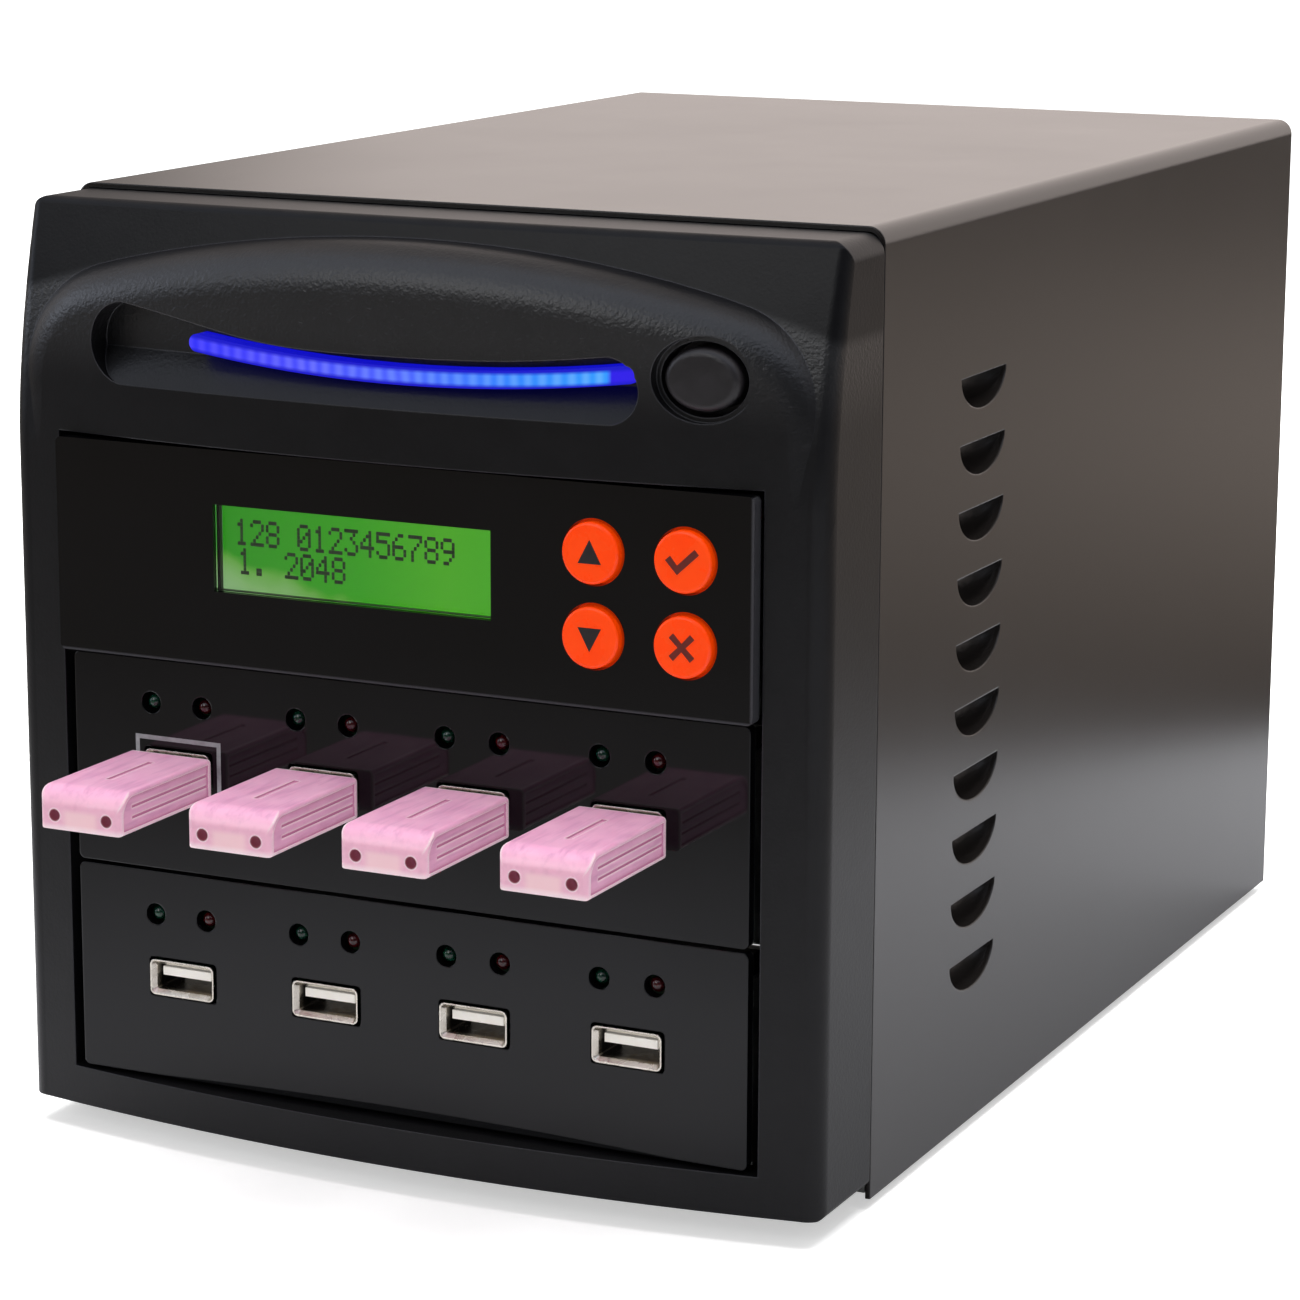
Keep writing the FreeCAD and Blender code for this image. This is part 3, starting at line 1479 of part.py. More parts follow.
def mains_inlet():
    w = inlet_width / 2
    h = inlet_height / 2
    mouth = psu_back + inlet_flange_thickness
    flange = block((inlet_x - w - inlet_flange, inlet_x + w + inlet_flange), (psu_back, mouth),
                   (inlet_z - h - inlet_flange, inlet_z + h + inlet_flange))
    w -= socket_gap
    h -= socket_gap
    body = block((inlet_x - w, inlet_x + w), (psu_back - inlet_depth, psu_back), (inlet_z - h, inlet_z + h))
    cavity = rounded_y((inlet_x - inlet_cavity_width / 2, inlet_x + inlet_cavity_width / 2),
                       (inlet_z - inlet_cavity_height / 2, inlet_z + inlet_cavity_height / 2),
                       (mouth - inlet_cavity_depth, mouth + 1), inlet_cavity_corner)
    return flange.fuse(body).cut([cavity] + pin_blocks())


def pin_blocks():
    """The three flat pins of the inlet: two in one row, the earth pin in the other."""
    floor = psu_back + inlet_flange_thickness - inlet_cavity_depth
    row = pin_row_offset / 2
    pins = []
    for dx, dz in ((-row, -pin_spacing / 2), (-row, pin_spacing / 2), (row, 0.0)):
        x = inlet_x + dx
        z = inlet_z + dz
        pins.append(block((x - pin_width / 2, x + pin_width / 2), (floor - pin_root, floor + pin_length),
                          (z - pin_thickness / 2, z + pin_thickness / 2)))
    return pins


def mains_pins():
    return Part.makeCompound(pin_blocks())


def rocker_housing():
    w = rocker_body_width / 2
    h = rocker_body_height / 2
    front = psu_back + rocker_flange_thickness
    flange = block((inlet_x - w - rocker_flange, inlet_x + w + rocker_flange), (psu_back, front),
                   (rocker_z - h - rocker_flange, rocker_z + h + rocker_flange))
    w -= socket_gap
    h -= socket_gap
    floor = psu_back - rocker_body_depth
    body = block((inlet_x - w, inlet_x + w), (floor, psu_back), (rocker_z - h, rocker_z + h))
    cavity = block((inlet_x - rocker_width / 2 - rocker_gap, inlet_x + rocker_width / 2 + rocker_gap),
                   (floor + rocker_floor, front + 1),
                   (rocker_z - rocker_height / 2 - rocker_gap, rocker_z + rocker_height / 2 + rocker_gap))
    axis = rocker_axis_y()
    pin = rod(rocker_pin_radius, (inlet_x - w, axis, rocker_z), (inlet_x + w, axis, rocker_z))
    return flange.fuse(body).cut(cavity).fuse(pin)


def rocker_axis_y():
    """The rocker's axis, behind the housing's face."""
    return psu_back + rocker_flange_thickness - rocker_axis_depth


def rocker():
    """Rocker in a shallow V across its pin; stored with its lower half pressed in."""
    half = rocker_width / 2
    axis = rocker_axis_y()
    reach = rocker_height / 2
    rise = reach * math.tan(math.radians(rocker_tilt))
    face = axis + rocker_face_rise
    root = reach - 2 * rocker_taper
    end = reach - rocker_taper
    points = [(-root, axis - rocker_root), (root, axis - rocker_root), (end, face + rise)]
    points += [(0, face), (-end, face + rise)]
    polygon = Part.makePolygon([V(inlet_x - half, y, rocker_z + z) for z, y in points + points[:1]])
    body = Part.Face(polygon).extrude(V(2 * half, 0, 0))
    body.rotate(V(inlet_x, axis, rocker_z), V(1, 0, 0), rocker_tilt)
    out = half + 1
    bore = rod(rocker_pin_radius + rocker_fit, (inlet_x - out, axis, rocker_z),
               (inlet_x + out, axis, rocker_z))
    return body.cut(bore)


def case_fan_frame():
    return fan_frame(case_fan_x, case_fan_z, rear_panel_front)


def case_fan_rotor():
    return fan_rotor(case_fan_x, case_fan_z, rear_panel_front)


def psu_fan_frame():
    return fan_frame(psu_fan_x, psu_fan_z, psu_back - psu_sheet)


def psu_fan_rotor():
    return fan_rotor(psu_fan_x, psu_fan_z, psu_back - psu_sheet)


# Feet and screws

def feet():
    height = foot_below_case + floor_bottom
    pads = []
    for x, y in foot_places():
        pad = Part.makeCone(foot_radius - foot_taper, foot_radius, height, V(x, y, -foot_below_case))
        sink = Part.makeCylinder(screw_head_radius + slip, screw_head + slip, V(x, y, -foot_below_case))
        bore = Part.makeCylinder(hole_radius, height + 2, V(x, y, -foot_below_case - 1))
        pads.append(pad.cut([sink, bore]))
    return Part.makeCompound(pads)


def foot_screws():
    screws = []
    for x, y in foot_places():
        seat = -foot_below_case + screw_head + slip
        head = Part.makeCylinder(screw_head_radius, screw_head, V(x, y, seat - screw_head))
        shank = Part.makeCylinder(screw_radius, floor_top + foot_screw_end - seat, V(x, y, seat))
        screws.append(head.fuse(shank))
    return screws


def rear_screws():
    """Screws seen from behind, and those that hold the feet."""
    screws = [screw_y(x, z, cover_rear) for x, z in cover_screw_places()]
    screws += [screw_y(x, z, rear_panel_back, short_screw_length) for x, z in psu_screw_places()]
    seat = rear_panel_back + 2 * guard_wire
    places = fan_corners(case_fan_x, case_fan_z) + fan_corners(psu_fan_x, psu_fan_z)
    screws += [screw_y(x, z, seat, guard_screw_length) for x, z in places]
    return Part.makeCompound(screws + foot_screws())


def inner_screws():
    """Screws of the boards and trays."""
    seat = front_board_y + board_thickness
    screws = [screw_y(x, z, seat, board_screw_length) for x, z in front_board_posts()]
    seat = tray_front_wall + sheet
    for index in range(bay_count):
        screws += [screw_y(x, z, seat, seat - screw_end(index)) for x, z in board_screws(index)]
        z = bay_z(index)[0] + tray_lift + tray_screw_height
        for y in tray_screw_spots:
            start = (cage_outer, frame_back + y, z)
            head = rod(screw_head_radius, start, (cage_outer + screw_head, frame_back + y, z))
            shank = rod(screw_radius, (cage_outer - screw_length, frame_back + y, z), start)
            screws += both_sides(head.fuse(shank))
    top = controller_z() + board_thickness
    for x, y in controller_posts():
        head = Part.makeCylinder(screw_head_radius, screw_head, V(x, y, top))
        length = board_thickness + standoff_height
        shank = Part.makeCylinder(screw_radius, length, V(x, y, top - length))
        screws.append(head.fuse(shank))
    return Part.makeCompound(screws)


def screw_end(index):
    """Y where a board screw ends, inside its board."""
    return (control_board_y if index == bay_count - 1 else port_board_y) + screw_tip_in_board


# Leads inside the case

def harness_exit_z():
    """Height of the lead's hole in the power supply's front."""
    return psu_bottom + harness_above_floor + harness_radius


def power_harness():
    plug_y = controller_front + controller_depth
    plug_z = controller_z() + board_thickness + header_height / 2
    exit_z = harness_exit_z()
    points = [V(harness_x, psu_front, exit_z), V(harness_x, psu_front - harness_straight, exit_z)]
    points += [V(harness_x, plug_y + harness_straight, plug_z), V(harness_x, plug_y, plug_z)]
    circle = Part.makeCircle(harness_radius, points[0], V(0, -1, 0))
    lead = bent_path(points, harness_bend).makePipeShell([Part.Wire(circle)], True, True)
    inside = rod_y(harness_radius, harness_x, exit_z, (psu_front, psu_front + harness_inside))
    return lead.fuse(inside).removeSplitter()


def bent_path(points, wanted):
    """Straight runs joined by tangent arcs of the wanted radius, or as large as the runs allow."""
    edges = []
    start = points[0]
    for i in range(1, len(points) - 1):
        back = points[i - 1] - points[i]
        ahead = points[i + 1] - points[i]
        turn = math.pi - back.getAngle(ahead)
        radius = min(wanted, 0.45 * min(back.Length, ahead.Length) / math.tan(turn / 2))
        print("lead bend radius", round(radius, 2))
        back.normalize()
        ahead.normalize()
        a = points[i] + back * radius * math.tan(turn / 2)
        b = points[i] + ahead * radius * math.tan(turn / 2)
        middle = back + ahead
        middle.normalize()
        c = points[i] + middle * (radius / math.cos(turn / 2) - radius)
        edges.append(Part.LineSegment(start, a).toShape())
        edges.append(Part.Arc(a, c, b).toShape())
        start = b
    edges.append(Part.LineSegment(start, points[-1]).toShape())
    return Part.Wire(edges)


def ribbon(points, x):
    """Flat cable: a strip of even thickness that runs in the YZ plane through the given points."""
    path = bent_path([V(x, y, z) for y, z in points], ribbon_bend)
    y, z = points[0]
    w = ribbon_width / 2
    h = ribbon_thickness / 2
    corners = [V(x - w, y, z - h), V(x + w, y, z - h), V(x + w, y, z + h), V(x - w, y, z + h)]
    return path.makePipeShell([Part.makePolygon(corners + corners[:1])], True, True)


def port_cables():
    strips = []
    end_y = controller_front + controller_depth
    top = controller_z() + board_thickness + header_height / 2
    tray_back = fascia_thickness + tray_depth
    for index, reach in ((0, ribbon_lower_reach), (1, ribbon_upper_reach)):
        z = bay_z(index)
        middle = (z[0] + z[1]) / 2
        x = ribbon_place(index)
        back = tray_back + reach
        start = port_board_y + board_thickness + plug_block_depth
        strips.append(ribbon([(start, middle), (back, middle), (back, top), (end_y, top)], x))
        strips.append(block((x - ribbon_width / 2, x + ribbon_width / 2), (start - plug_block_depth, start),
                            (middle - plug_block_height / 2, middle + plug_block_height / 2)))
    return Part.makeCompound(strips)


# Flash drives

def drive_profile(x, z, inset):
    """Block across X with a drive's side view, rounded at the top of its front, its outline set in."""
    h = drive_thickness / 2 - inset
    front = drive_front + inset
    body = block(x, (front, drive_inner - inset), (z - h, z + h))
    brow = [e for e in body.Edges if abs(e.tangentAt(e.FirstParameter).x) > 0.99]
    brow = [e for e in brow if e.CenterOfMass.y < front + 0.1 and e.CenterOfMass.z > z]
    return body.makeFillet(drive_brow - inset, brow)


def drive_case(i):
    x = port_xs()[i]
    z = port_zs()[1] - drive_drop
    w = drive_width / 2
    h = drive_thickness / 2
    y = (drive_front, drive_inner)
    body = rounded_y((x - w, x + w), (z - h, z + h), y, drive_corner)
    # Front end rounded in plan
    plan = block((x - w, x + w), (drive_front, drive_inner + 1), (z - h - 1, z + h + 1))
    upright = [e for e in plan.Edges if abs(e.tangentAt(e.FirstParameter).z) > 0.99]
    upright = [e for e in upright if e.CenterOfMass.y < drive_front + 0.1]
    body = body.common(plan.makeFillet(drive_nose, upright))
    body = body.common(drive_profile((x - w - 1, x + w + 1), z, 0.0))
    plug_z = port_zs()[1]
    tools = [block((x - plug_width / 2, x + plug_width / 2), (drive_inner - plug_seat, drive_inner + 1),
                   (plug_z - plug_height / 2, plug_z + plug_height / 2))]
    slot_start = drive_front + drive_slot_from_front
    tools.append(block((x - drive_slot_width / 2, x + drive_slot_width / 2),
                       (slot_start, slot_start + drive_slot_length), (z + h - drive_slot_depth, z + h + 1)))
    for side in (-1, 1):
        hole_x = x + side * drive_hole_spacing / 2
        tools.append(rod_y(drive_hole_radius, hole_x, z - drive_hole_drop,
                           (drive_front - 1, drive_front + drive_hole_depth)))
        # Panel sunk into the side inside a rim, with fine grooves along it
        gx = x + side * w
        tools.append(drive_profile((gx - drive_panel_depth, gx + drive_panel_depth), z, drive_rim))
        cut = drive_panel_depth + groove_depth
        for g in range(groove_count):
            gz = z + (g - (groove_count - 1) / 2) * groove_pitch
            tools.append(block((gx - cut, gx + cut), (drive_front + drive_brow, drive_inner - drive_rim),
                               (gz - groove_width / 2, gz + groove_width / 2)))
    return body.cut(tools)


def drive_plug(i):
    x = port_xs()[i]
    z = port_zs()[1]
    w = plug_width / 2
    h = plug_height / 2
    tip = drive_inner + plug_length
    tube = rounded_y((x - w, x + w), (z - h, z + h), (drive_inner - plug_seat, tip), plug_corner)
    top = z + h
    w -= plug_wall
    h -= plug_wall
    hollow = rounded_y((x - w, x + w), (z - h, z + h), (drive_inner, tip + 1), plug_corner - plug_wall / 2)
    core = block((x - w, x + w), (drive_inner, tip - plug_core_setback), (z - h, z - h + plug_core_thickness))
    far = tip - plug_window_from_tip
    windows = []
    for side in (-1, 1):
        wx = x + side * plug_window_spacing / 2
        windows.append(block((wx - plug_window / 2, wx + plug_window / 2), (far - plug_window, far),
                             (z, top + 1)))
    return tube.cut([hollow] + windows).fuse(core)


def pieces():
    """Every piece of the part by its name."""
    made = {
        "front_bezel": front_bezel(),
        "light_bar": light_bar(),
        "front_board": front_board(),
        "power_button": power_button(),
        "power_switch": power_switch(),
        "control_fascia": control_fascia(),
        "display_window": display_window(),
        "display_frame": display_frame(),
        "display_glass": display_glass(),
        "control_board": control_board(),
        "key_switches": key_switches(),
        "port_fascia_lower": port_fascia(0),
        "port_fascia_upper": port_fascia(1),
        "port_board_lower": port_board(0),
        "port_board_upper": port_board(1),
        "usb_shells_lower": usb_shells(0),
        "usb_shells_upper": usb_shells(1),
        "usb_tongues": usb_tongues(),
        "usb_contacts": usb_contacts(),
        "green_lamps": lamps(green_offset),
        "red_lamps": lamps(red_offset),
        "port_trays": Part.makeCompound([tray(0), tray(1)]),
        "control_tray": tray(2),
        "controller_board": controller_board(),
        "heat_sink": heat_sink(),
        "bay_cage": bay_cage(),
        "chassis_base": chassis_base(),
        "front_frame": front_frame(),
        "rear_panel": rear_panel(),
        "cover_shell": cover_shell(),
        "psu_case": psu_case(),
        "psu_lid": psu_lid(),
        "psu_board": psu_board(),
        "psu_fan_frame": psu_fan_frame(),
        "psu_fan_rotor": psu_fan_rotor(),
        "case_fan_frame": case_fan_frame(),
        "case_fan_rotor": case_fan_rotor(),
        "fan_guards": fan_guards(),
        "mains_inlet": mains_inlet(),
        "mains_pins": mains_pins(),
        "rocker_housing": rocker_housing(),
        "rocker": rocker(),
        "feet": feet(),
        "rear_screws": rear_screws(),
        "inner_screws": inner_screws(),
        "power_harness": power_harness(),
        "port_cables": port_cables(),
    }
    for name in key_places():
        made["key_" + name] = key(name)
    for i in range(port_count):
        made["flash_drive_%d" % (i + 1)] = drive_case(i)
        made["drive_plug_%d" % (i + 1)] = drive_plug(i)
    return made


def main():
    os.makedirs("parts", exist_ok=True)
    shift = V(0, -origin_y, foot_below_case)
    for name, shape in pieces().items():
        shape.translate(shift)
        shape.exportStep("parts/%s.step" % name)


main()
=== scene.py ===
import json
import math

import bmesh
import bpy
from mathutils import Matrix, Vector


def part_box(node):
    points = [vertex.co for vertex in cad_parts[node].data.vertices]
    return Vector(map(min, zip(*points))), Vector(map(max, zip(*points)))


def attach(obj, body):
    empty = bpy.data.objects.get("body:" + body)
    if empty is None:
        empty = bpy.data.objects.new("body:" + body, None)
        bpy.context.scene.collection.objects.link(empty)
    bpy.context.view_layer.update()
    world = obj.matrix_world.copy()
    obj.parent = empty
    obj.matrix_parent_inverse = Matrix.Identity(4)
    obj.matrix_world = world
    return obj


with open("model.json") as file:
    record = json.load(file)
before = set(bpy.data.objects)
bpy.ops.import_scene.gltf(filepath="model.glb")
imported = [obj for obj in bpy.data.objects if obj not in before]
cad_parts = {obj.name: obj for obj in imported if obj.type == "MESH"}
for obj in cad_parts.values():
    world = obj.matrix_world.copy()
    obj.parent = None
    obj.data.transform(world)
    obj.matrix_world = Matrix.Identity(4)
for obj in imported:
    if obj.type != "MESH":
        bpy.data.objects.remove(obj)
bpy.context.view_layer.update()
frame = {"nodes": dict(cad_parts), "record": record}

MM = 0.001

# The duplicator's own places are measured from the front of the port fascias and the cover's lower edge.
# The cover's front edge stands 26.8 mm behind that plane, so it carries the measure into this frame.
COVER_FRONT = 26.8
cover_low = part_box("cover_shell")[0]
ORIGIN = Vector((0.0, cover_low.y - COVER_FRONT * MM, cover_low.z))


def place(x, y, z):
    """A point of the duplicator given in millimetres from its own measuring planes."""
    return ORIGIN + Vector((x, y, z)) * MM


# Camera, solved from the photograph's straight edges: picture in pixels, sensor and place in mm

FOCAL_PIXELS = 4066.18
IMAGE_PIXELS = 1300
SENSOR = 36.0
CAMERA_TURN = math.radians(25.5)
CAMERA_TILT = math.radians(12.39)
CAMERA_ROLL = math.radians(0.24)
CAMERA_PLACE = (366.34, -657.63, 269.67)


def make_camera():
    """Camera at the photograph's viewing angle."""
    right = Vector((math.cos(CAMERA_TURN), math.sin(CAMERA_TURN), 0))
    ahead = Vector((-math.sin(CAMERA_TURN) * math.cos(CAMERA_TILT),
                    math.cos(CAMERA_TURN) * math.cos(CAMERA_TILT), -math.sin(CAMERA_TILT)))
    up = right.cross(ahead)
    across = math.cos(CAMERA_ROLL) * right + math.sin(CAMERA_ROLL) * up
    upright = math.cos(CAMERA_ROLL) * up - math.sin(CAMERA_ROLL) * right
    data = bpy.data.cameras.new("camera")
    data.sensor_width = SENSOR
    data.lens = FOCAL_PIXELS * SENSOR / IMAGE_PIXELS
    camera = bpy.data.objects.new("camera", data)
    bpy.context.scene.collection.objects.link(camera)
    turned = Matrix((across, upright, -ahead)).transposed().to_4x4()
    camera.matrix_world = Matrix.Translation(place(*CAMERA_PLACE)) @ turned
    bpy.context.scene.camera = camera


# Materials

# Sockets of a colour mix: its share, the colours at share 0 and share 1, and its result
SHARE, BELOW, ABOVE, MIXED = 0, 6, 7, 2

# Setting of a range that starts and ends softly
SMOOTH = {"interpolation_type": "SMOOTHSTEP"}


def colour(code):
    """Linear colour of an sRGB hex value."""
    parts = [int(code[i:i + 2], 16) / 255 for i in (1, 3, 5)]
    return tuple(p / 12.92 if p <= 0.04045 else ((p + 0.055) / 1.055) ** 2.4 for p in parts) + (1.0,)


def fill(elements, stops):
    """Fills a colour ramp; each stop is a place and a hex colour."""
    while len(elements) < len(stops):
        elements.new(0.5)
    for element, (at, code) in zip(elements, stops):
        element.position = at
        element.color = colour(code)


def add(tree, kind, settings, links=()):
    """Adds a node, fills its inputs and properties, and joins its inputs to nodes or their outputs.

    An input takes a hex colour as text, stops fills a colour ramp, and a node stands for its first output."""
    node = tree.nodes.new(kind)
    for key, value in settings.items():
        if key == "stops":
            fill(node.color_ramp.elements, value)
        elif isinstance(key, int) or key in node.inputs:
            node.inputs[key].default_value = colour(value) if isinstance(value, str) else value
        else:
            setattr(node, key, value)
    for key, source in links:
        output = source.outputs[0] if isinstance(source, bpy.types.Node) else source
        tree.links.new(output, node.inputs[key])
    return node


def blank(name):
    """New material with an empty node tree."""
    material = bpy.data.materials.new(name)
    material.use_nodes = True
    material.node_tree.nodes.clear()
    return material, material.node_tree


def moulded(name, dark, light, rough, grain, depth, edge=0.25, patch=9.0, rough_spread=0.06, **extra):
    """Finish with two close tones in soft patches, a fine grain and slightly eased edges.

    grain and patch are sizes on the real piece in mm, depth is the grain's height and edge the eased edge's
    radius in mm. extra holds further settings of the shader."""
    material, tree = blank(name)
    where = add(tree, "ShaderNodeTexCoord", {}).outputs["Object"]
    soft = add(tree, "ShaderNodeTexNoise", {"Scale": 1 / (patch * MM), "Detail": 3.0, "Roughness": 0.6},
               [("Vector", where)])
    fine = add(tree, "ShaderNodeTexNoise", {"Scale": 1 / (grain * MM), "Detail": 2.0, "Roughness": 0.55},
               [("Vector", where)])
    tone = add(tree, "ShaderNodeValToRGB", {"stops": ((0.3, dark), (0.7, light))}, [(0, soft)])
    spread = add(tree, "ShaderNodeMapRange", {"From Min": 0.3, "From Max": 0.7,
                                              "To Min": rough - rough_spread, "To Max": rough + rough_spread},
                 [("Value", soft)])
    eased = add(tree, "ShaderNodeBevel", {"samples": 6, "Radius": edge * MM})
    bump = add(tree, "ShaderNodeBump", {"Strength": 1.0, "Distance": depth * MM},
               [("Height", fine), ("Normal", eased)])
    shader = add(tree, "ShaderNodeBsdfPrincipled", extra,
                 [("Base Color", tone), ("Roughness", spread), ("Normal", bump)])
    add(tree, "ShaderNodeOutputMaterial", {}, [("Surface", shader)])
    return material


# The bezel's finish in mm: pebbles, drawn coarser than the real ones so that they show, the finer grain
# between them, and soft patches of tone. The pebbles set in between two heights, and across the arch.
PEBBLE = 0.75
PEBBLE_HEIGHT = 0.13
FINE_GRAIN = 0.5
FINE_HEIGHT = 0.02
BEZEL_CLOUD = 6.0
GRAIN_FADE = (150.0, 166.0)
ARCH_FADE = (0.5, -2.5)

# The arch over the bezel's raised face in mm: its radius and the height of its centre
ARCH_RADIUS = 290.05
ARCH_CENTRE = -108.49


def spark_grain_abs(name, dark, light):
    """ABS moulded against a spark-eroded tool: charcoal, matt, with a pebble grain that scatters highlights.

    The grain is coarse on the raised face inside the arch, fine outside it. Sharp edges are painted paler, a
    painted highlight."""
    material, tree = blank(name)
    where = add(tree, "ShaderNodeTexCoord", {}).outputs["Object"]
    split = add(tree, "ShaderNodeSeparateXYZ", {}, [(0, where)])
    moved = add(tree, "ShaderNodeMapping", {"Location": (0.0, 0.0, -place(0, 0, ARCH_CENTRE).z),
                                            "Scale": (1.0, 0.0, 1.0)}, [("Vector", where)])
    reach = add(tree, "ShaderNodeVectorMath", {"operation": "LENGTH"}, [(0, moved)])
    under = add(tree, "ShaderNodeMapRange", {**SMOOTH, "From Min": (ARCH_RADIUS + ARCH_FADE[0]) * MM,
                                             "From Max": (ARCH_RADIUS + ARCH_FADE[1]) * MM},
                [("Value", reach.outputs["Value"])])
    raised = add(tree, "ShaderNodeMapRange", {**SMOOTH, "From Min": place(0, 0, GRAIN_FADE[0]).z,
                                              "From Max": place(0, 0, GRAIN_FADE[1]).z},
                 [("Value", split.outputs["Z"])])
    inside = add(tree, "ShaderNodeMath", {"operation": "MULTIPLY"}, [(0, under), (1, raised)])
    pebbles = add(tree, "ShaderNodeTexNoise", {"Scale": 1 / (PEBBLE * MM), "Detail": 1.0, "Roughness": 0.6},
                  [("Vector", where)])
    share = add(tree, "ShaderNodeMapRange", {"To Min": 0.2, "To Max": 1.0}, [("Value", inside)])
    relief = add(tree, "ShaderNodeMath", {"operation": "MULTIPLY"}, [(0, pebbles), (1, share)])
    fine = add(tree, "ShaderNodeTexNoise", {"Scale": 1 / (FINE_GRAIN * MM), "Detail": 2.0},
               [("Vector", where)])
    eased = add(tree, "ShaderNodeBevel", {"samples": 6, "Radius": 0.4 * MM})
    coarse_bump = add(tree, "ShaderNodeBump", {"Strength": 1.0, "Distance": PEBBLE_HEIGHT * MM},
                      [("Height", relief), ("Normal", eased)])
    fine_bump = add(tree, "ShaderNodeBump", {"Strength": 1.0, "Distance": FINE_HEIGHT * MM},
                    [("Height", fine), ("Normal", coarse_bump)])
    cloud = add(tree, "ShaderNodeTexNoise",
                {"Scale": 1 / (BEZEL_CLOUD * MM), "Detail": 4.0, "Roughness": 0.65}, [("Vector", where)])
    plain_tone = add(tree, "ShaderNodeValToRGB", {"stops": ((0.3, dark), (0.7, light))}, [(0, cloud)])
    # Painted highlight: where the eased normal turns away from the flat one, the edges are painted paler
    flat = add(tree, "ShaderNodeNewGeometry", {}).outputs["Normal"]
    turn = add(tree, "ShaderNodeVectorMath", {"operation": "DOT_PRODUCT"}, [(0, eased), (1, flat)])
    rim = add(tree, "ShaderNodeMapRange", {"From Min": 0.99, "From Max": 0.85},
              [("Value", turn.outputs["Value"])])
    tone = add(tree, "ShaderNodeMix", {"data_type": "RGBA", ABOVE: "#36363b"},
               [(SHARE, rim), (BELOW, plain_tone)])
    rough = add(tree, "ShaderNodeMapRange", {"To Min": 0.36, "To Max": 0.40}, [("Value", inside)])
    plain_gloss = add(tree, "ShaderNodeMapRange", {"To Min": 0.17, "To Max": 0.25}, [("Value", under)])
    gloss = add(tree, "ShaderNodeMath", {"operation": "MULTIPLY_ADD", 1: 0.35},
                [(0, inside), (2, plain_gloss)])
    shader = add(tree, "ShaderNodeBsdfPrincipled", {"IOR": 1.53},
                 [("Base Color", tone.outputs[MIXED]), ("Roughness", rough), ("Specular IOR Level", gloss),
                  ("Normal", fine_bump)])
    add(tree, "ShaderNodeOutputMaterial", {}, [("Surface", shader)])
    return material


def plated(name, dark, light, rough, patch, edge=0.2, deep=None):
    """Metal: two close tones in patches the size of the plating's crystals, in mm, and a trace of grain.

    deep is the depth along Y, from and to, over which the inside of a socket is painted dark, a painted
    shade."""
    material, tree = blank(name)
    where = add(tree, "ShaderNodeTexCoord", {}).outputs["Object"]
    crystals = add(tree, "ShaderNodeTexVoronoi", {"Scale": 1 / (patch * MM), "Randomness": 1.0},
                   [("Vector", where)]).outputs["Color"]
    tone = add(tree, "ShaderNodeValToRGB", {"stops": ((0.2, dark), (0.8, light))}, [(0, crystals)]).outputs[0]
    if deep:
        split = add(tree, "ShaderNodeSeparateXYZ", {}, [(0, where)])
        # Painted shade: deep in a socket the tone goes over to near black
        inside = add(tree, "ShaderNodeMapRange", {"From Min": deep[0], "From Max": deep[1]},
                     [("Value", split.outputs["Y"])])
        tone = add(tree, "ShaderNodeMix", {"data_type": "RGBA", ABOVE: "#1a1410"},
                   [(SHARE, inside), (BELOW, tone)]).outputs[MIXED]
    spread = add(tree, "ShaderNodeMapRange", {"To Min": rough - 0.05, "To Max": rough + 0.08},
                 [("Value", crystals)])
    fine = add(tree, "ShaderNodeTexNoise", {"Scale": 1 / (0.6 * MM), "Detail": 2.0}, [("Vector", where)])
    eased = add(tree, "ShaderNodeBevel", {"samples": 4, "Radius": edge * MM})
    bump = add(tree, "ShaderNodeBump", {"Strength": 1.0, "Distance": 0.008 * MM},
               [("Height", fine), ("Normal", eased)])
    shader = add(tree, "ShaderNodeBsdfPrincipled", {"Metallic": 1.0},
                 [("Base Color", tone), ("Roughness", spread), ("Normal", bump)])
    add(tree, "ShaderNodeOutputMaterial", {}, [("Surface", shader)])
    return material


# The light bar in mm: height of its ends, how far its middle sags, half its thickness, length of a lamp's
# segment, how far before its right end the lamps fade and stop, how far inside its edge the rim sets in
BAR_ENDS = 160.5
BAR_SAG = 3.0
BAR_HALF = 1.7
SEGMENT = 2.8
BAR_UNLIT = (6.0, 5.0)
BAR_RIM = (1.0, 0.3)


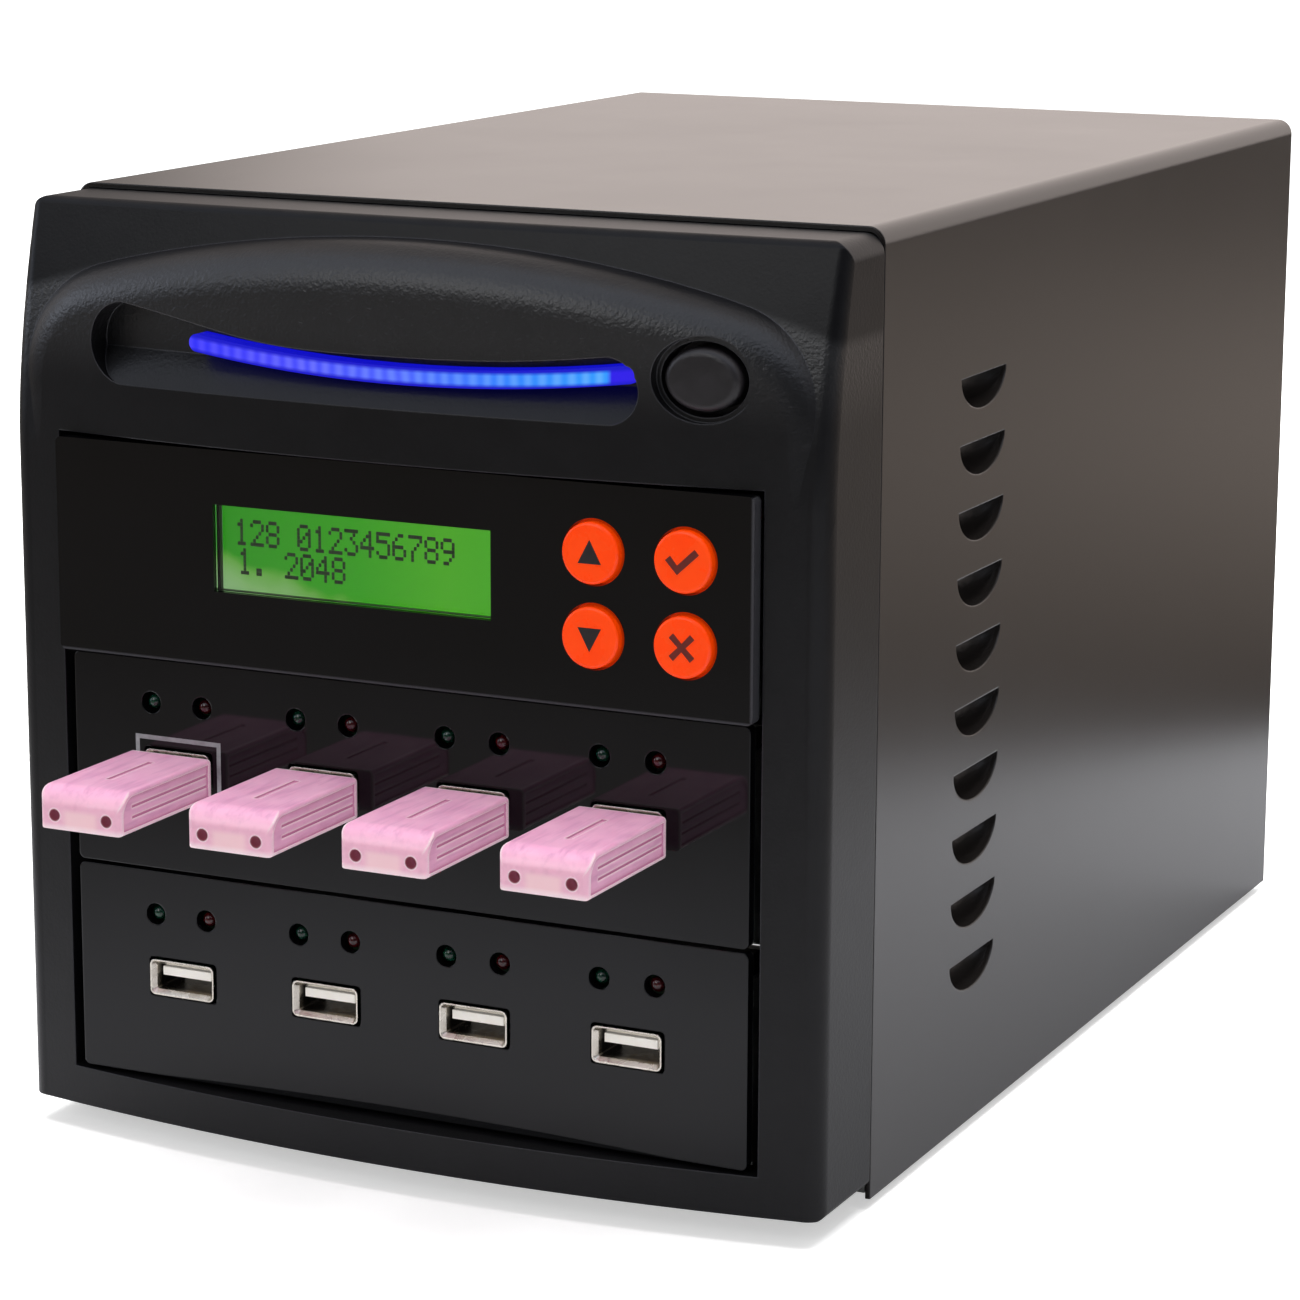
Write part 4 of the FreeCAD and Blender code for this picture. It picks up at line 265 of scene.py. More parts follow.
def lit_acrylic(name, low, high):
    """Acrylic bar with lamps behind it: violet-blue on the left, cyan-blue on the right, its rim deep blue.

    The lamps show as faint segments. low and high are the bar's corners."""
    material, tree = blank(name)
    middle = (low.x + high.x) / 2
    half = (high.x - low.x) / 2
    radius = (half * half + (BAR_SAG * MM) ** 2) / (2 * BAR_SAG * MM)
    centre = place(0, 0, BAR_ENDS - BAR_SAG).z + radius
    where = add(tree, "ShaderNodeTexCoord", {}).outputs["Object"]
    split = add(tree, "ShaderNodeSeparateXYZ", {}, [(0, where)])
    along = add(tree, "ShaderNodeMapRange", {"From Min": low.x, "From Max": high.x},
                [("Value", split.outputs["X"])])
    between = add(tree, "ShaderNodeValToRGB", {"stops": ((0.0, "#2c2cf0"), (0.2, "#4444f4"), (0.5, "#4a62f6"),
                                                         (0.75, "#2f86f6"), (1.0, "#2fa0ff"))}, [(0, along)])
    over_lamp = add(tree, "ShaderNodeValToRGB", {"stops": ((0.0, "#5a50ff"), (0.3, "#8086ff"),
                                                           (0.6, "#74a8ff"), (1.0, "#7ccaff"))}, [(0, along)])
    # At scale 1 the bands of a wave texture lie tau / 20 metres apart
    lamps = add(tree, "ShaderNodeTexWave", {"Scale": math.tau / (20 * SEGMENT * MM), "Distortion": 1.6},
                [("Vector", where)])
    seen = add(tree, "ShaderNodeMath", {"operation": "MULTIPLY", 1: 0.45}, [(0, lamps.outputs["Fac"])])
    tone = add(tree, "ShaderNodeMix", {"data_type": "RGBA"},
               [(SHARE, seen), (BELOW, between), (ABOVE, over_lamp)]).outputs[MIXED]
    unlit = add(tree, "ShaderNodeMapRange", {"From Min": high.x - BAR_UNLIT[0] * MM,
                                             "From Max": high.x - BAR_UNLIT[1] * MM},
                [("Value", split.outputs["X"])])
    moved = add(tree, "ShaderNodeMapping", {"Location": (-middle, 0.0, -centre), "Scale": (1.0, 0.0, 1.0)},
                [("Vector", where)])
    reach = add(tree, "ShaderNodeVectorMath", {"operation": "LENGTH"}, [(0, moved)])
    off = add(tree, "ShaderNodeMath", {"operation": "SUBTRACT", 1: radius}, [(0, reach.outputs["Value"])])
    aside = add(tree, "ShaderNodeMath", {"operation": "ABSOLUTE"}, [(0, off)])
    rim = add(tree, "ShaderNodeMapRange", {"From Min": (BAR_HALF - BAR_RIM[0]) * MM,
                                           "From Max": (BAR_HALF - BAR_RIM[1]) * MM}, [("Value", aside)])
    for share, code in ((unlit, "#2c18e0"), (rim, "#1010c0")):
        tone = add(tree, "ShaderNodeMix", {"data_type": "RGBA", ABOVE: code},
                   [(SHARE, share), (BELOW, tone)]).outputs[MIXED]
    shader = add(tree, "ShaderNodeBsdfPrincipled",
                 {"Base Color": "#0c0c60", "Roughness": 0.18, "IOR": 1.49, "Emission Strength": 1.0},
                 [("Emission Color", tone)])
    add(tree, "ShaderNodeOutputMaterial", {}, [("Surface", shader)])
    return material


def lit_display(name, low, high):
    """Backlit liquid crystal panel: green, brighter to the right, milky in its lower left corner.

    low and high are the window's corners."""
    material, tree = blank(name)
    where = add(tree, "ShaderNodeTexCoord", {}).outputs["Object"]
    split = add(tree, "ShaderNodeSeparateXYZ", {}, [(0, where)])
    across = add(tree, "ShaderNodeMapRange", {"From Min": low.x, "From Max": high.x},
                 [("Value", split.outputs["X"])])
    up = add(tree, "ShaderNodeMapRange", {"From Min": low.z, "From Max": high.z},
             [("Value", split.outputs["Z"])])
    slope = add(tree, "ShaderNodeMath", {"operation": "MULTIPLY_ADD", 1: 1.2}, [(0, up), (2, across)])
    cloud = add(tree, "ShaderNodeTexNoise", {"Scale": 1 / (9 * MM), "Detail": 2.0}, [("Vector", where)])
    inward = add(tree, "ShaderNodeMath", {"operation": "MULTIPLY_ADD", 1: 0.35}, [(0, cloud), (2, slope)])
    corner = add(tree, "ShaderNodeValToRGB",
                 {"stops": ((0.2, "#8eb686"), (0.45, "#84b470"), (0.65, "#5ea638"))}, [(0, inward)])
    field = add(tree, "ShaderNodeValToRGB", {"stops": ((0.0, "#1e9002"), (0.5, "#2f9f08"), (0.8, "#48ac14"),
                                                       (1.0, "#42aa16"))}, [(0, across)])
    clear = add(tree, "ShaderNodeMapRange", {"From Min": 0.62, "From Max": 0.72}, [("Value", inward)])
    tone = add(tree, "ShaderNodeMix", {"data_type": "RGBA"},
               [(SHARE, clear), (BELOW, corner), (ABOVE, field)])
    shader = add(tree, "ShaderNodeBsdfPrincipled",
                 {"Base Color": "#0c2a08", "Roughness": 0.25, "Emission Strength": 0.9},
                 [("Emission Color", tone.outputs[MIXED])])
    add(tree, "ShaderNodeOutputMaterial", {}, [("Surface", shader)])
    return material


def cast_epoxy(name, deep, lit):
    """Cast epoxy lamp, unlit: deep tinted body with a glossy dome."""
    material, tree = blank(name)
    where = add(tree, "ShaderNodeTexCoord", {}).outputs["Object"]
    cloud = add(tree, "ShaderNodeTexNoise", {"Scale": 1 / (1.2 * MM), "Detail": 2.0}, [("Vector", where)])
    tone = add(tree, "ShaderNodeValToRGB", {"stops": ((0.3, deep), (0.75, lit))}, [(0, cloud)])
    shader = add(tree, "ShaderNodeBsdfPrincipled",
                 {"Roughness": 0.16, "IOR": 1.54, "Subsurface Weight": 0.2, "Subsurface Scale": 1.0 * MM},
                 [("Base Color", tone)])
    add(tree, "ShaderNodeOutputMaterial", {}, [("Surface", shader)])
    return material


# Share of the drives' colour given as a painted glow on every side of the shell, standing in for light that
# goes through it and comes out again
SHELL_GLOW = 0.3

# The two holes in a drive's end in mm: half their spacing, how far they sit below its middle, their radius,
# and how far round them their painted shade fades
HOLE_ASIDE = 5.75
HOLE_DROP = 1.3
HOLE_RADIUS = 1.1
HOLE_FADE = 0.2
HOLE_DEPTH_SHARE = 0.1

# The bar between the holes in mm, from its edge to where it is full: half its width, how far it lies below
# the top, how far it reaches behind the end. Then the same for the paler nose and the hem over the underside.
BAR_WIDE = (4.6, 2.6)
BAR_BELOW = (3.6, 5.0)
BAR_BEHIND = (0.8, 0.3)
NOSE_BEHIND = (1.8, 0.2)
HEM_ABOVE = (1.3, 0.4)


def pink_shell(name, low, high):
    """ABS moulded translucent pink: milky, streaked lengthwise, with a painted highlight along its edges,
    painted shade in its grooves and a faint painted glow.

    The end is paler, with a pale bar between its two holes, which are painted dark as painted shade. low and
    high are the drive's corners."""
    material, tree = blank(name)
    where = add(tree, "ShaderNodeTexCoord", {}).outputs["Object"]
    split = add(tree, "ShaderNodeSeparateXYZ", {}, [(0, where)])
    flow = add(tree, "ShaderNodeTexNoise", {"Scale": 1 / (5 * MM), "Detail": 3.0, "Roughness": 0.6},
               [("Vector", where)])
    drawn = add(tree, "ShaderNodeMapping", {"Scale": (1.0, 0.12, 1.0)}, [("Vector", where)])
    streaks = add(tree, "ShaderNodeTexNoise", {"Scale": 1 / (1.6 * MM), "Detail": 2.0, "Roughness": 0.6},
                  [("Vector", drawn)])
    veined = add(tree, "ShaderNodeMapRange", {"From Min": 0.48, "From Max": 0.75, "To Max": 0.6},
                 [("Value", streaks)])
    aside = add(tree, "ShaderNodeMath", {"operation": "SUBTRACT", 1: (low.x + high.x) / 2},
                [(0, split.outputs["X"])])
    across = add(tree, "ShaderNodeMath", {"operation": "ABSOLUTE"}, [(0, aside)])
    wide = add(tree, "ShaderNodeMapRange", {**SMOOTH, "From Min": BAR_WIDE[0] * MM,
                                            "From Max": BAR_WIDE[1] * MM}, [("Value", across)])
    below = add(tree, "ShaderNodeMapRange", {**SMOOTH, "From Min": high.z - BAR_BELOW[0] * MM,
                                             "From Max": high.z - BAR_BELOW[1] * MM},
                [("Value", split.outputs["Z"])])
    ahead = add(tree, "ShaderNodeMapRange", {"From Min": low.y + BAR_BEHIND[0] * MM,
                                             "From Max": low.y + BAR_BEHIND[1] * MM},
                [("Value", split.outputs["Y"])])
    band = add(tree, "ShaderNodeMath", {"operation": "MULTIPLY"}, [(0, wide), (1, below)])
    bar = add(tree, "ShaderNodeMath", {"operation": "MULTIPLY"}, [(0, band), (1, ahead)])
    nose = add(tree, "ShaderNodeMapRange", {"From Min": low.y + NOSE_BEHIND[0] * MM,
                                            "From Max": low.y + NOSE_BEHIND[1] * MM, "To Max": 0.6},
               [("Value", split.outputs["Y"])])
    hem = add(tree, "ShaderNodeMapRange", {"From Min": low.z + HEM_ABOVE[0] * MM,
                                           "From Max": low.z + HEM_ABOVE[1] * MM, "To Max": 0.75},
              [("Value", split.outputs["Z"])])
    # Painted highlight: where the eased normal turns away from the flat one, the edges are painted paler
    eased = add(tree, "ShaderNodeBevel", {"samples": 8, "Radius": 0.9 * MM})
    flat = add(tree, "ShaderNodeNewGeometry", {}).outputs["Normal"]
    turn = add(tree, "ShaderNodeVectorMath", {"operation": "DOT_PRODUCT"}, [(0, eased), (1, flat)])
    rim = add(tree, "ShaderNodeMapRange", {"From Min": 0.998, "From Max": 0.93},
              [("Value", turn.outputs["Value"])])
    # Painted shade: where the shell is hollowed, in its grooves, it is painted a deeper pink
    hollow = add(tree, "ShaderNodeAmbientOcclusion", {"samples": 6, "Distance": 0.8 * MM})
    groove_shade = add(tree, "ShaderNodeMapRange", {"From Min": 0.95, "From Max": 0.75},
                 [("Value", hollow.outputs["AO"])])
    # Painted shade fills the holes: depth counts little here, so that a hole is dark down to its bottom and
    # the drive's far end isn't
    joined = add(tree, "ShaderNodeCombineXYZ", {}, [("X", across), ("Y", split.outputs["Y"]),
                                                    ("Z", split.outputs["Z"])])
    pressed = add(tree, "ShaderNodeMapping", {"Scale": (1.0, HOLE_DEPTH_SHARE, 1.0)}, [("Vector", joined)])
    hole = (HOLE_ASIDE * MM, HOLE_DEPTH_SHARE * low.y, (low.z + high.z) / 2 - HOLE_DROP * MM)
    reach = add(tree, "ShaderNodeVectorMath", {"operation": "DISTANCE", 1: hole}, [(0, pressed)])
    hole_shade = add(tree, "ShaderNodeMapRange", {"From Min": (HOLE_RADIUS + HOLE_FADE) * MM,
                                           "From Max": HOLE_RADIUS * MM}, [("Value", reach.outputs["Value"])])
    tone = add(tree, "ShaderNodeValToRGB", {"stops": ((0.3, "#ebaacd"), (0.7, "#f4b8d6"))},
               [(0, flow)]).outputs[0]
    for share, code in ((veined, "#c985b0"), (nose, "#f6bfd0"), (bar, "#fcd0d8"), (hem, "#ffe8ee"),
                        (rim, "#ffe4ea"), (groove_shade, "#cf7fa8"), (hole_shade, "#8e4656")):
        tone = add(tree, "ShaderNodeMix", {"data_type": "RGBA", ABOVE: code},
                   [(SHARE, share), (BELOW, tone)]).outputs[MIXED]
    # Painted glow: a share of the colour is taken from the lit shell and given out as glow
    direct = add(tree, "ShaderNodeVectorMath", {"operation": "SCALE", "Scale": 1 - SHELL_GLOW}, [(0, tone)])
    rough = add(tree, "ShaderNodeMapRange", {"To Min": 0.24, "To Max": 0.4}, [("Value", flow)])
    shader = add(tree, "ShaderNodeBsdfPrincipled",
                 {"Subsurface Weight": 0.3, "Subsurface Radius": (1.0, 0.4, 0.55), "Subsurface Scale": 2 * MM,
                  "Coat Weight": 0.3, "Coat Roughness": 0.12, "Emission Strength": SHELL_GLOW},
                 [("Base Color", direct), ("Emission Color", tone), ("Roughness", rough), ("Normal", eased)])
    add(tree, "ShaderNodeOutputMaterial", {}, [("Surface", shader)])
    return material


# The control panel's painted highlight along its edges in mm, from where it sets in to where it is full
HIGHLIGHT_RIGHT = (0.7, 0.3)
HIGHLIGHT_UNDER = (0.6, 0.25)


def polished_panel(name, low, high):
    """ABS from a polished tool, black: mirror-like, its right and lower edges rougher and painted paler, a
    painted highlight.

    low and high are the panel's corners."""
    material, tree = blank(name)
    where = add(tree, "ShaderNodeTexCoord", {}).outputs["Object"]
    split = add(tree, "ShaderNodeSeparateXYZ", {}, [(0, where)])
    right = add(tree, "ShaderNodeMapRange", {"From Min": high.x - HIGHLIGHT_RIGHT[0] * MM,
                                             "From Max": high.x - HIGHLIGHT_RIGHT[1] * MM},
                [("Value", split.outputs["X"])])
    under = add(tree, "ShaderNodeMapRange", {"From Min": low.z + HIGHLIGHT_UNDER[0] * MM,
                                             "From Max": low.z + HIGHLIGHT_UNDER[1] * MM},
                [("Value", split.outputs["Z"])])
    # Painted highlight: the right and lower edges are painted paler and made rougher
    painted_highlight = add(tree, "ShaderNodeMath", {"operation": "MAXIMUM"}, [(0, right), (1, under)])
    flow = add(tree, "ShaderNodeTexNoise", {"Scale": 1 / (30 * MM), "Detail": 2.0}, [("Vector", where)])
    new_tone = add(tree, "ShaderNodeValToRGB", {"stops": ((0.3, "#060607"), (0.7, "#09090b"))}, [(0, flow)])
    tone = add(tree, "ShaderNodeMix", {"data_type": "RGBA", ABOVE: "#3a3a3e"},
               [(SHARE, painted_highlight), (BELOW, new_tone)])
    rough = add(tree, "ShaderNodeMapRange", {"To Min": 0.05, "To Max": 0.45}, [("Value", painted_highlight)])
    shader = add(tree, "ShaderNodeBsdfPrincipled", {"Specular IOR Level": 0.3},
                 [("Base Color", tone.outputs[MIXED]), ("Roughness", rough)])
    add(tree, "ShaderNodeOutputMaterial", {}, [("Surface", shader)])
    return material


def clear_acrylic(name):
    """Cast acrylic window: clear and polished, faintly green."""
    material, tree = blank(name)
    where = add(tree, "ShaderNodeTexCoord", {}).outputs["Object"]
    haze = add(tree, "ShaderNodeTexNoise", {"Scale": 1 / (14 * MM), "Detail": 1.0}, [("Vector", where)])
    polish = add(tree, "ShaderNodeMapRange", {"To Min": 0.0, "To Max": 0.02}, [("Value", haze)])
    shader = add(tree, "ShaderNodeBsdfPrincipled",
                 {"Base Color": "#f4f8f4", "IOR": 1.49, "Transmission Weight": 1.0}, [("Roughness", polish)])
    add(tree, "ShaderNodeOutputMaterial", {}, [("Surface", shader)])
    return material


def solder_mask_board(name):
    """Glass-fibre board under green solder mask, with copper tracks showing as paler lines."""
    material, tree = blank(name)
    where = add(tree, "ShaderNodeTexCoord", {}).outputs["Object"]
    tracks = add(tree, "ShaderNodeTexBrick",
                 {"Scale": 1 / (9 * MM), "Mortar Size": 0.05, "Mortar Smooth": 0.2,
                  "Color1": "#0f4a28", "Color2": "#125430", "Mortar": "#2a7a48"}, [("Vector", where)])
    weave = add(tree, "ShaderNodeTexNoise", {"Scale": 1 / (0.8 * MM)}, [("Vector", where)])
    bump = add(tree, "ShaderNodeBump", {"Strength": 1.0, "Distance": 0.02 * MM}, [("Height", weave)])
    shader = add(tree, "ShaderNodeBsdfPrincipled", {"Roughness": 0.35, "IOR": 1.5},
                 [("Base Color", tracks), ("Normal", bump)])
    add(tree, "ShaderNodeOutputMaterial", {}, [("Surface", shader)])
    return material


window_low, window_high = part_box("display_window")
bar_low, bar_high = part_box("light_bar")

# After its two tones moulded is given the roughness, the grain's size and height, the eased edge and the
# patches' size. plated is given the roughness, the crystals' size and the eased edge. All sizes are in mm.
finishes = {
    # Charcoal ABS from a spark-eroded tool: matt with a pebble grain
    "bezel_plastic": spark_grain_abs("ABS, spark-eroded grain", "#0b0b0d", "#101012"),
    # The same grain, a shade paler and rougher, so that the button stands out from the bezel
    "button_plastic": moulded("ABS button, spark-eroded grain", "#161416", "#201d20", 0.45, 0.9, 0.06),
    # Black ABS from a polished tool: mirror-like, with a trace of flow waviness
    "panel_black": moulded("ABS, polished black", "#08080a", "#0c0c0f", 0.06, 14.0, 0.004, 0.35, 30.0, 0.01,
                           **{"Specular IOR Level": 0.3}),
    # Powder coat on steel: dark satin with a fine orange peel
    "cover_paint": moulded("steel, satin powder coat", "#1f1c1b", "#23201f", 0.24, 1.2, 0.006, 0.5, 60.0,
                           0.01),
    # Polished acrylic over lamps: glows blue along its whole length
    "light_bar_plastic": lit_acrylic("acrylic, polished and lit from behind", bar_low, bar_high),
    # Liquid crystal over a backlight: a soft green glow
    "display_green": lit_display("liquid crystal panel, backlit", window_low, window_high),
    # Cast acrylic: clear, with sharp mirror images
    "clear_window": clear_acrylic("acrylic, cast and clear"),
    # Solder mask: glossy green with paler tracks
    "circuit_board": solder_mask_board("glass-fibre board, green solder mask"),
    # Moulded nylon: black with a soft highlight
    "switch_plastic": moulded("nylon, moulded black", "#141414", "#1c1c1c", 0.45, 0.6, 0.02),
    # Satin paint on steel: black with a broad highlight
    "display_metal": moulded("steel, satin black paint", "#0e0e0e", "#161616", 0.35, 0.8, 0.008),
    # Nickel plate on deep-drawn steel: warm grey mirror, with painted shade down in the socket
    "port_steel": plated("steel, nickel plated", "#cfc8bc", "#e6e0d4", 0.24, 2.0, 0.2,
                         (place(0, 0.4, 0).y, place(0, 2.2, 0).y)),
    # Tumbled nickel plate: the same mirror, a little duller in tone
    "plug_steel": plated("steel, nickel plated and tumbled", "#c2beb6", "#dad6cd", 0.22, 2.0),
    # Moulded white nylon: warm white, with a faint painted glow for the little light coming through it
    "tongue_white": moulded("nylon, moulded white", "#f2eee4", "#faf7f0", 0.4, 0.6, 0.02, 0.15, 4.0,
                            **{"Emission Color": "#fff8ee", "Emission Strength": 0.12}),
    # Gold plate: bright yellow strips
    "contact_gold": plated("copper alloy, gold plated", "#c89a3c", "#e0b45a", 0.18, 1.0, 0.05),
    # Cast epoxy, unlit: so deep a tint that only the dome's highlight shows
    "lamp_green": cast_epoxy("epoxy, cast green", "#041a12", "#0a3a28"),
    "lamp_red": cast_epoxy("epoxy, cast red", "#1c0406", "#46080c"),
    # Zinc coat on sheet: pale grey with crystal patches
    "zinc_steel": plated("sheet steel, zinc plated", "#999b98", "#a8aaa6", 0.34, 5.0),
    # Black anodised aluminium: dark metal with a soft sheen
    "sink_aluminium": plated("aluminium, black anodised", "#161618", "#202024", 0.4, 3.0),
    # Moulded PBT: black, faintly glossy on its edges
    "fan_black": moulded("PBT, moulded black", "#121212", "#1a1a1a", 0.42, 0.8, 0.02),
    # Bright chrome: thin mirror lines
    "guard_chrome": plated("steel wire, bright chrome", "#c4c6c8", "#dedfe0", 0.12, 6.0, 0.05),
    # Matt nylon: black without a sharp highlight
    "inlet_black": moulded("nylon, moulded matt black", "#101010", "#181818", 0.5, 0.6, 0.03),
    # Nickel on brass: silver with a warm cast
    "pin_nickel": plated("brass, nickel plated", "#b8b4a8", "#d0ccc0", 0.2, 2.0),
    # Polished nylon: black with a clear highlight
    "rocker_black": moulded("nylon, polished black", "#0c0c0c", "#131313", 0.2, 3.0, 0.005),
    # Moulded rubber: dull black
    "foot_rubber": moulded("rubber, moulded black", "#101010", "#191919", 0.75, 0.8, 0.05, 0.4),
    # Passivated zinc: pale grey, duller than the chrome beside it
    "screw_steel": plated("steel, zinc plated and passivated", "#9a9c98", "#b8bab4", 0.3, 1.5, 0.15),
    # Extruded PVC: black with a long soft sheen
    "lead_black": moulded("PVC sleeve, extruded black", "#101010", "#1a1a1a", 0.45, 1.5, 0.05),
    # Extruded ribbon: mid grey and matt
    "ribbon_grey": moulded("PVC ribbon, extruded grey", "#8c8c8c", "#9c9c9c", 0.5, 1.27, 0.06),
    # Orange ABS with a polished face: saturated, with a paler eased rim and a faint painted glow
    "key_orange": moulded("ABS, polished orange", "#ff4000", "#ff4a00", 0.28, 1.2, 0.004, 0.5, 5.0, **{
        "Specular IOR Level": 0.35, "Emission Color": "#ff4400", "Emission Strength": 0.25}),
}

# Inks: flat, thin and matt beside the polished faces they lie on. The display's dots are the crystal itself.
ink_white = moulded("screen ink, light grey", "#8d8f92", "#a6a8ab", 0.5, 0.3, 0.01, 0.02, 1.5)
ink_black = moulded("pad print, black", "#120c0c", "#1e1412", 0.55, 0.3, 0.01, 0.02, 1.5)
ink_red = moulded("pad print, dark red", "#5e1404", "#701a05", 0.55, 0.3, 0.01, 0.02, 1.5)
crystal_dark = moulded("liquid crystal, dark green", "#04300a", "#083c10", 0.4, 0.3, 0.01, 0.02, 1.5)

# The control panel and the four drives have finishes that are laid out on their own box
DRIVES = 4
own_finish = {"control_fascia": polished_panel("ABS, polished black, painted edge highlight", *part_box("control_fascia"))}
for drive in range(1, DRIVES + 1):
    own_finish["flash_drive_%d" % drive] = pink_shell("ABS, translucent pink %d" % drive,
                                                      *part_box("flash_drive_%d" % drive))

slot_of = {part["node"]: part["material_slot"] for part in frame["record"]["subparts"]}
for node, item in frame["nodes"].items():
    item.data.materials.clear()
    item.data.materials.append(own_finish.get(node) or finishes[slot_of[node]])


# Pieces

# Thickness of an ink layer and place of the port fascias' front, in mm
INK = 0.05
FASCIA_FRONT = 0.0


def keep(mesh, name, material, body):
    """Turns a finished bmesh into a piece that rides on a body."""
    data = bpy.data.meshes.new(name)
    bmesh.ops.recalc_face_normals(mesh, faces=mesh.faces)
    mesh.to_mesh(data)
    mesh.free()
    data.materials.append(material)
    item = bpy.data.objects.new(name, data)
    bpy.context.scene.collection.objects.link(item)
    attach(item, body)


def plate(mesh, outline, y, thickness):
    """Adds a plate across Y whose outline is a list of (X, Z) places in mm; it lies in front of y."""
    corners = [mesh.verts.new(place(x, y, z)) for x, z in outline]
    face = mesh.faces.new(corners)
    grown = bmesh.ops.extrude_face_region(mesh, geom=[face])
    moved = [v for v in grown["geom"] if isinstance(v, bmesh.types.BMVert)]
    bmesh.ops.translate(mesh, verts=moved, vec=Vector((0, -thickness * MM, 0)))


def port_outline():
    """Printed frame round the source port: open to nothing, lines 0.9 mm wide."""
    mesh = bmesh.new()
    left, right, low, high, line = -59.2, -39.8, 69.3, 81.9, 0.9
    plate(mesh, [(left, high - line), (right, high - line), (right, high), (left, high)], FASCIA_FRONT, INK)
    plate(mesh, [(left, low), (right, low), (right, low + line), (left, low + line)], FASCIA_FRONT, INK)
    for x in (left, right - line):
        plate(mesh, [(x, low + line), (x + line, low + line), (x + line, high - line), (x, high - line)],
              FASCIA_FRONT, INK)
    keep(mesh, "source_port_outline", ink_white, "case")


def cross(arm, waist, notch):
    """Outline of a cross: three points at the end of an arm, turned four times."""
    outline = []
    points = [(waist, arm), (0.0, notch), (-waist, arm)]
    for _ in range(4):
        outline += points
        points = [(-z, x) for x, z in points]
    return outline


# Marks on the keys in mm from the key's middle, each a list of outlines, and their ink
TRIANGLE = [(-2.4, -1.9), (2.4, -1.9), (0.0, 2.6)]
TICK_SHORT = [(-3.4, 0.2), (-1.0, -2.4), (-1.0, -0.6), (-2.4, 1.1)]
TICK_LONG = [(-1.0, -2.4), (3.4, 1.6), (2.5, 2.6), (-1.0, -0.6)]
MARKS = {
    "up": ([TRIANGLE], ink_black),
    "down": ([[(x, -z) for x, z in TRIANGLE]], ink_black),
    "enter": ([TICK_SHORT, TICK_LONG], ink_red),
    "escape": ([cross(2.6, 1.7, 0.8)], ink_red),
}


def key_marks():
    """Marks on the keys: triangles for up and down, a tick and a cross for yes and no."""
    for name, (outlines, ink) in MARKS.items():
        low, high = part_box("key_" + name)
        key_x, front, key_z = (Vector((low.x + high.x, 2 * low.y, low.z + high.z)) / 2 - ORIGIN) / MM
        mesh = bmesh.new()
        for outline in outlines:
            plate(mesh, [(key_x + x, key_z + z) for x, z in outline], front, INK)
        keep(mesh, "key_mark_" + name, ink, "key_" + name)


# Rows of a five by seven dot digit, from the top, each as a number whose bits are the dots
DIGITS = {
    "0": (14, 17, 19, 21, 25, 17, 14), "1": (4, 12, 4, 4, 4, 4, 14), "2": (14, 17, 1, 2, 4, 8, 31),
    "3": (31, 2, 4, 2, 1, 17, 14), "4": (2, 6, 10, 18, 31, 2, 2), "5": (31, 16, 30, 1, 1, 17, 14),
    "6": (6, 8, 16, 30, 17, 17, 14), "7": (31, 1, 2, 4, 8, 8, 8), "8": (14, 17, 17, 14, 17, 17, 14),
    "9": (14, 17, 17, 15, 1, 2, 12), ".": (0, 0, 0, 0, 0, 12, 12),
}
DOT_COLUMNS = 5

# A dot's size, the dots' and the digits' spacing, and each line with its left end and its top, all in mm
DOT_WIDTH = 0.58
DOT_HEIGHT = 0.7
DOT_ACROSS = 0.6
DOT_DOWN = 0.74
DIGIT_ACROSS = 3.45
LINES = (("128 0123456789", -36.2, 126.6), ("1. 2048", -35.6, 120.9))


def display_digits():
    """Plain numbers on the display: two lines of dot digits."""
    mesh = bmesh.new()
    front = (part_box("display_glass")[0].y - ORIGIN.y) / MM
    for text, left, top in LINES:
        for i, sign in enumerate(text):
            for row, bits in enumerate(DIGITS.get(sign, ())):
                for column in range(DOT_COLUMNS):
                    if bits >> (DOT_COLUMNS - 1 - column) & 1:
                        x = left + i * DIGIT_ACROSS + column * DOT_ACROSS
                        z = top - row * DOT_DOWN
                        plate(mesh, [(x, z - DOT_HEIGHT), (x + DOT_WIDTH, z - DOT_HEIGHT), (x + DOT_WIDTH, z),
                                     (x, z)], front, INK)
    keep(mesh, "display_digits", crystal_dark, "case")


port_outline()
key_marks()
display_digits()


# Studio

FLOOR_RADIUS = 6.0
FLOOR_SIDES = 96

# What the floor throws back on the object, by the distance in metres from the object's middle, and to the
# right by the distance along a slant, X and a share of Y. The second takes over between two places on X.
FLOOR_TONES = ((0.13, "#f4f4f8"), (0.27, "#c8c8cc"), (0.42, "#8c8a88"), (0.6, "#787470"), (0.9, "#7c7670"))
BESIDE_TONES = ((0.0, "#c2c2c6"), (0.2, "#c4c4c8"), (0.38, "#cacace"), (0.41, "#4c4642"), (0.65, "#746b64"),
                (1.0, "#978c84"))
SLANT = 0.84
BESIDE = (0.02, 0.09)


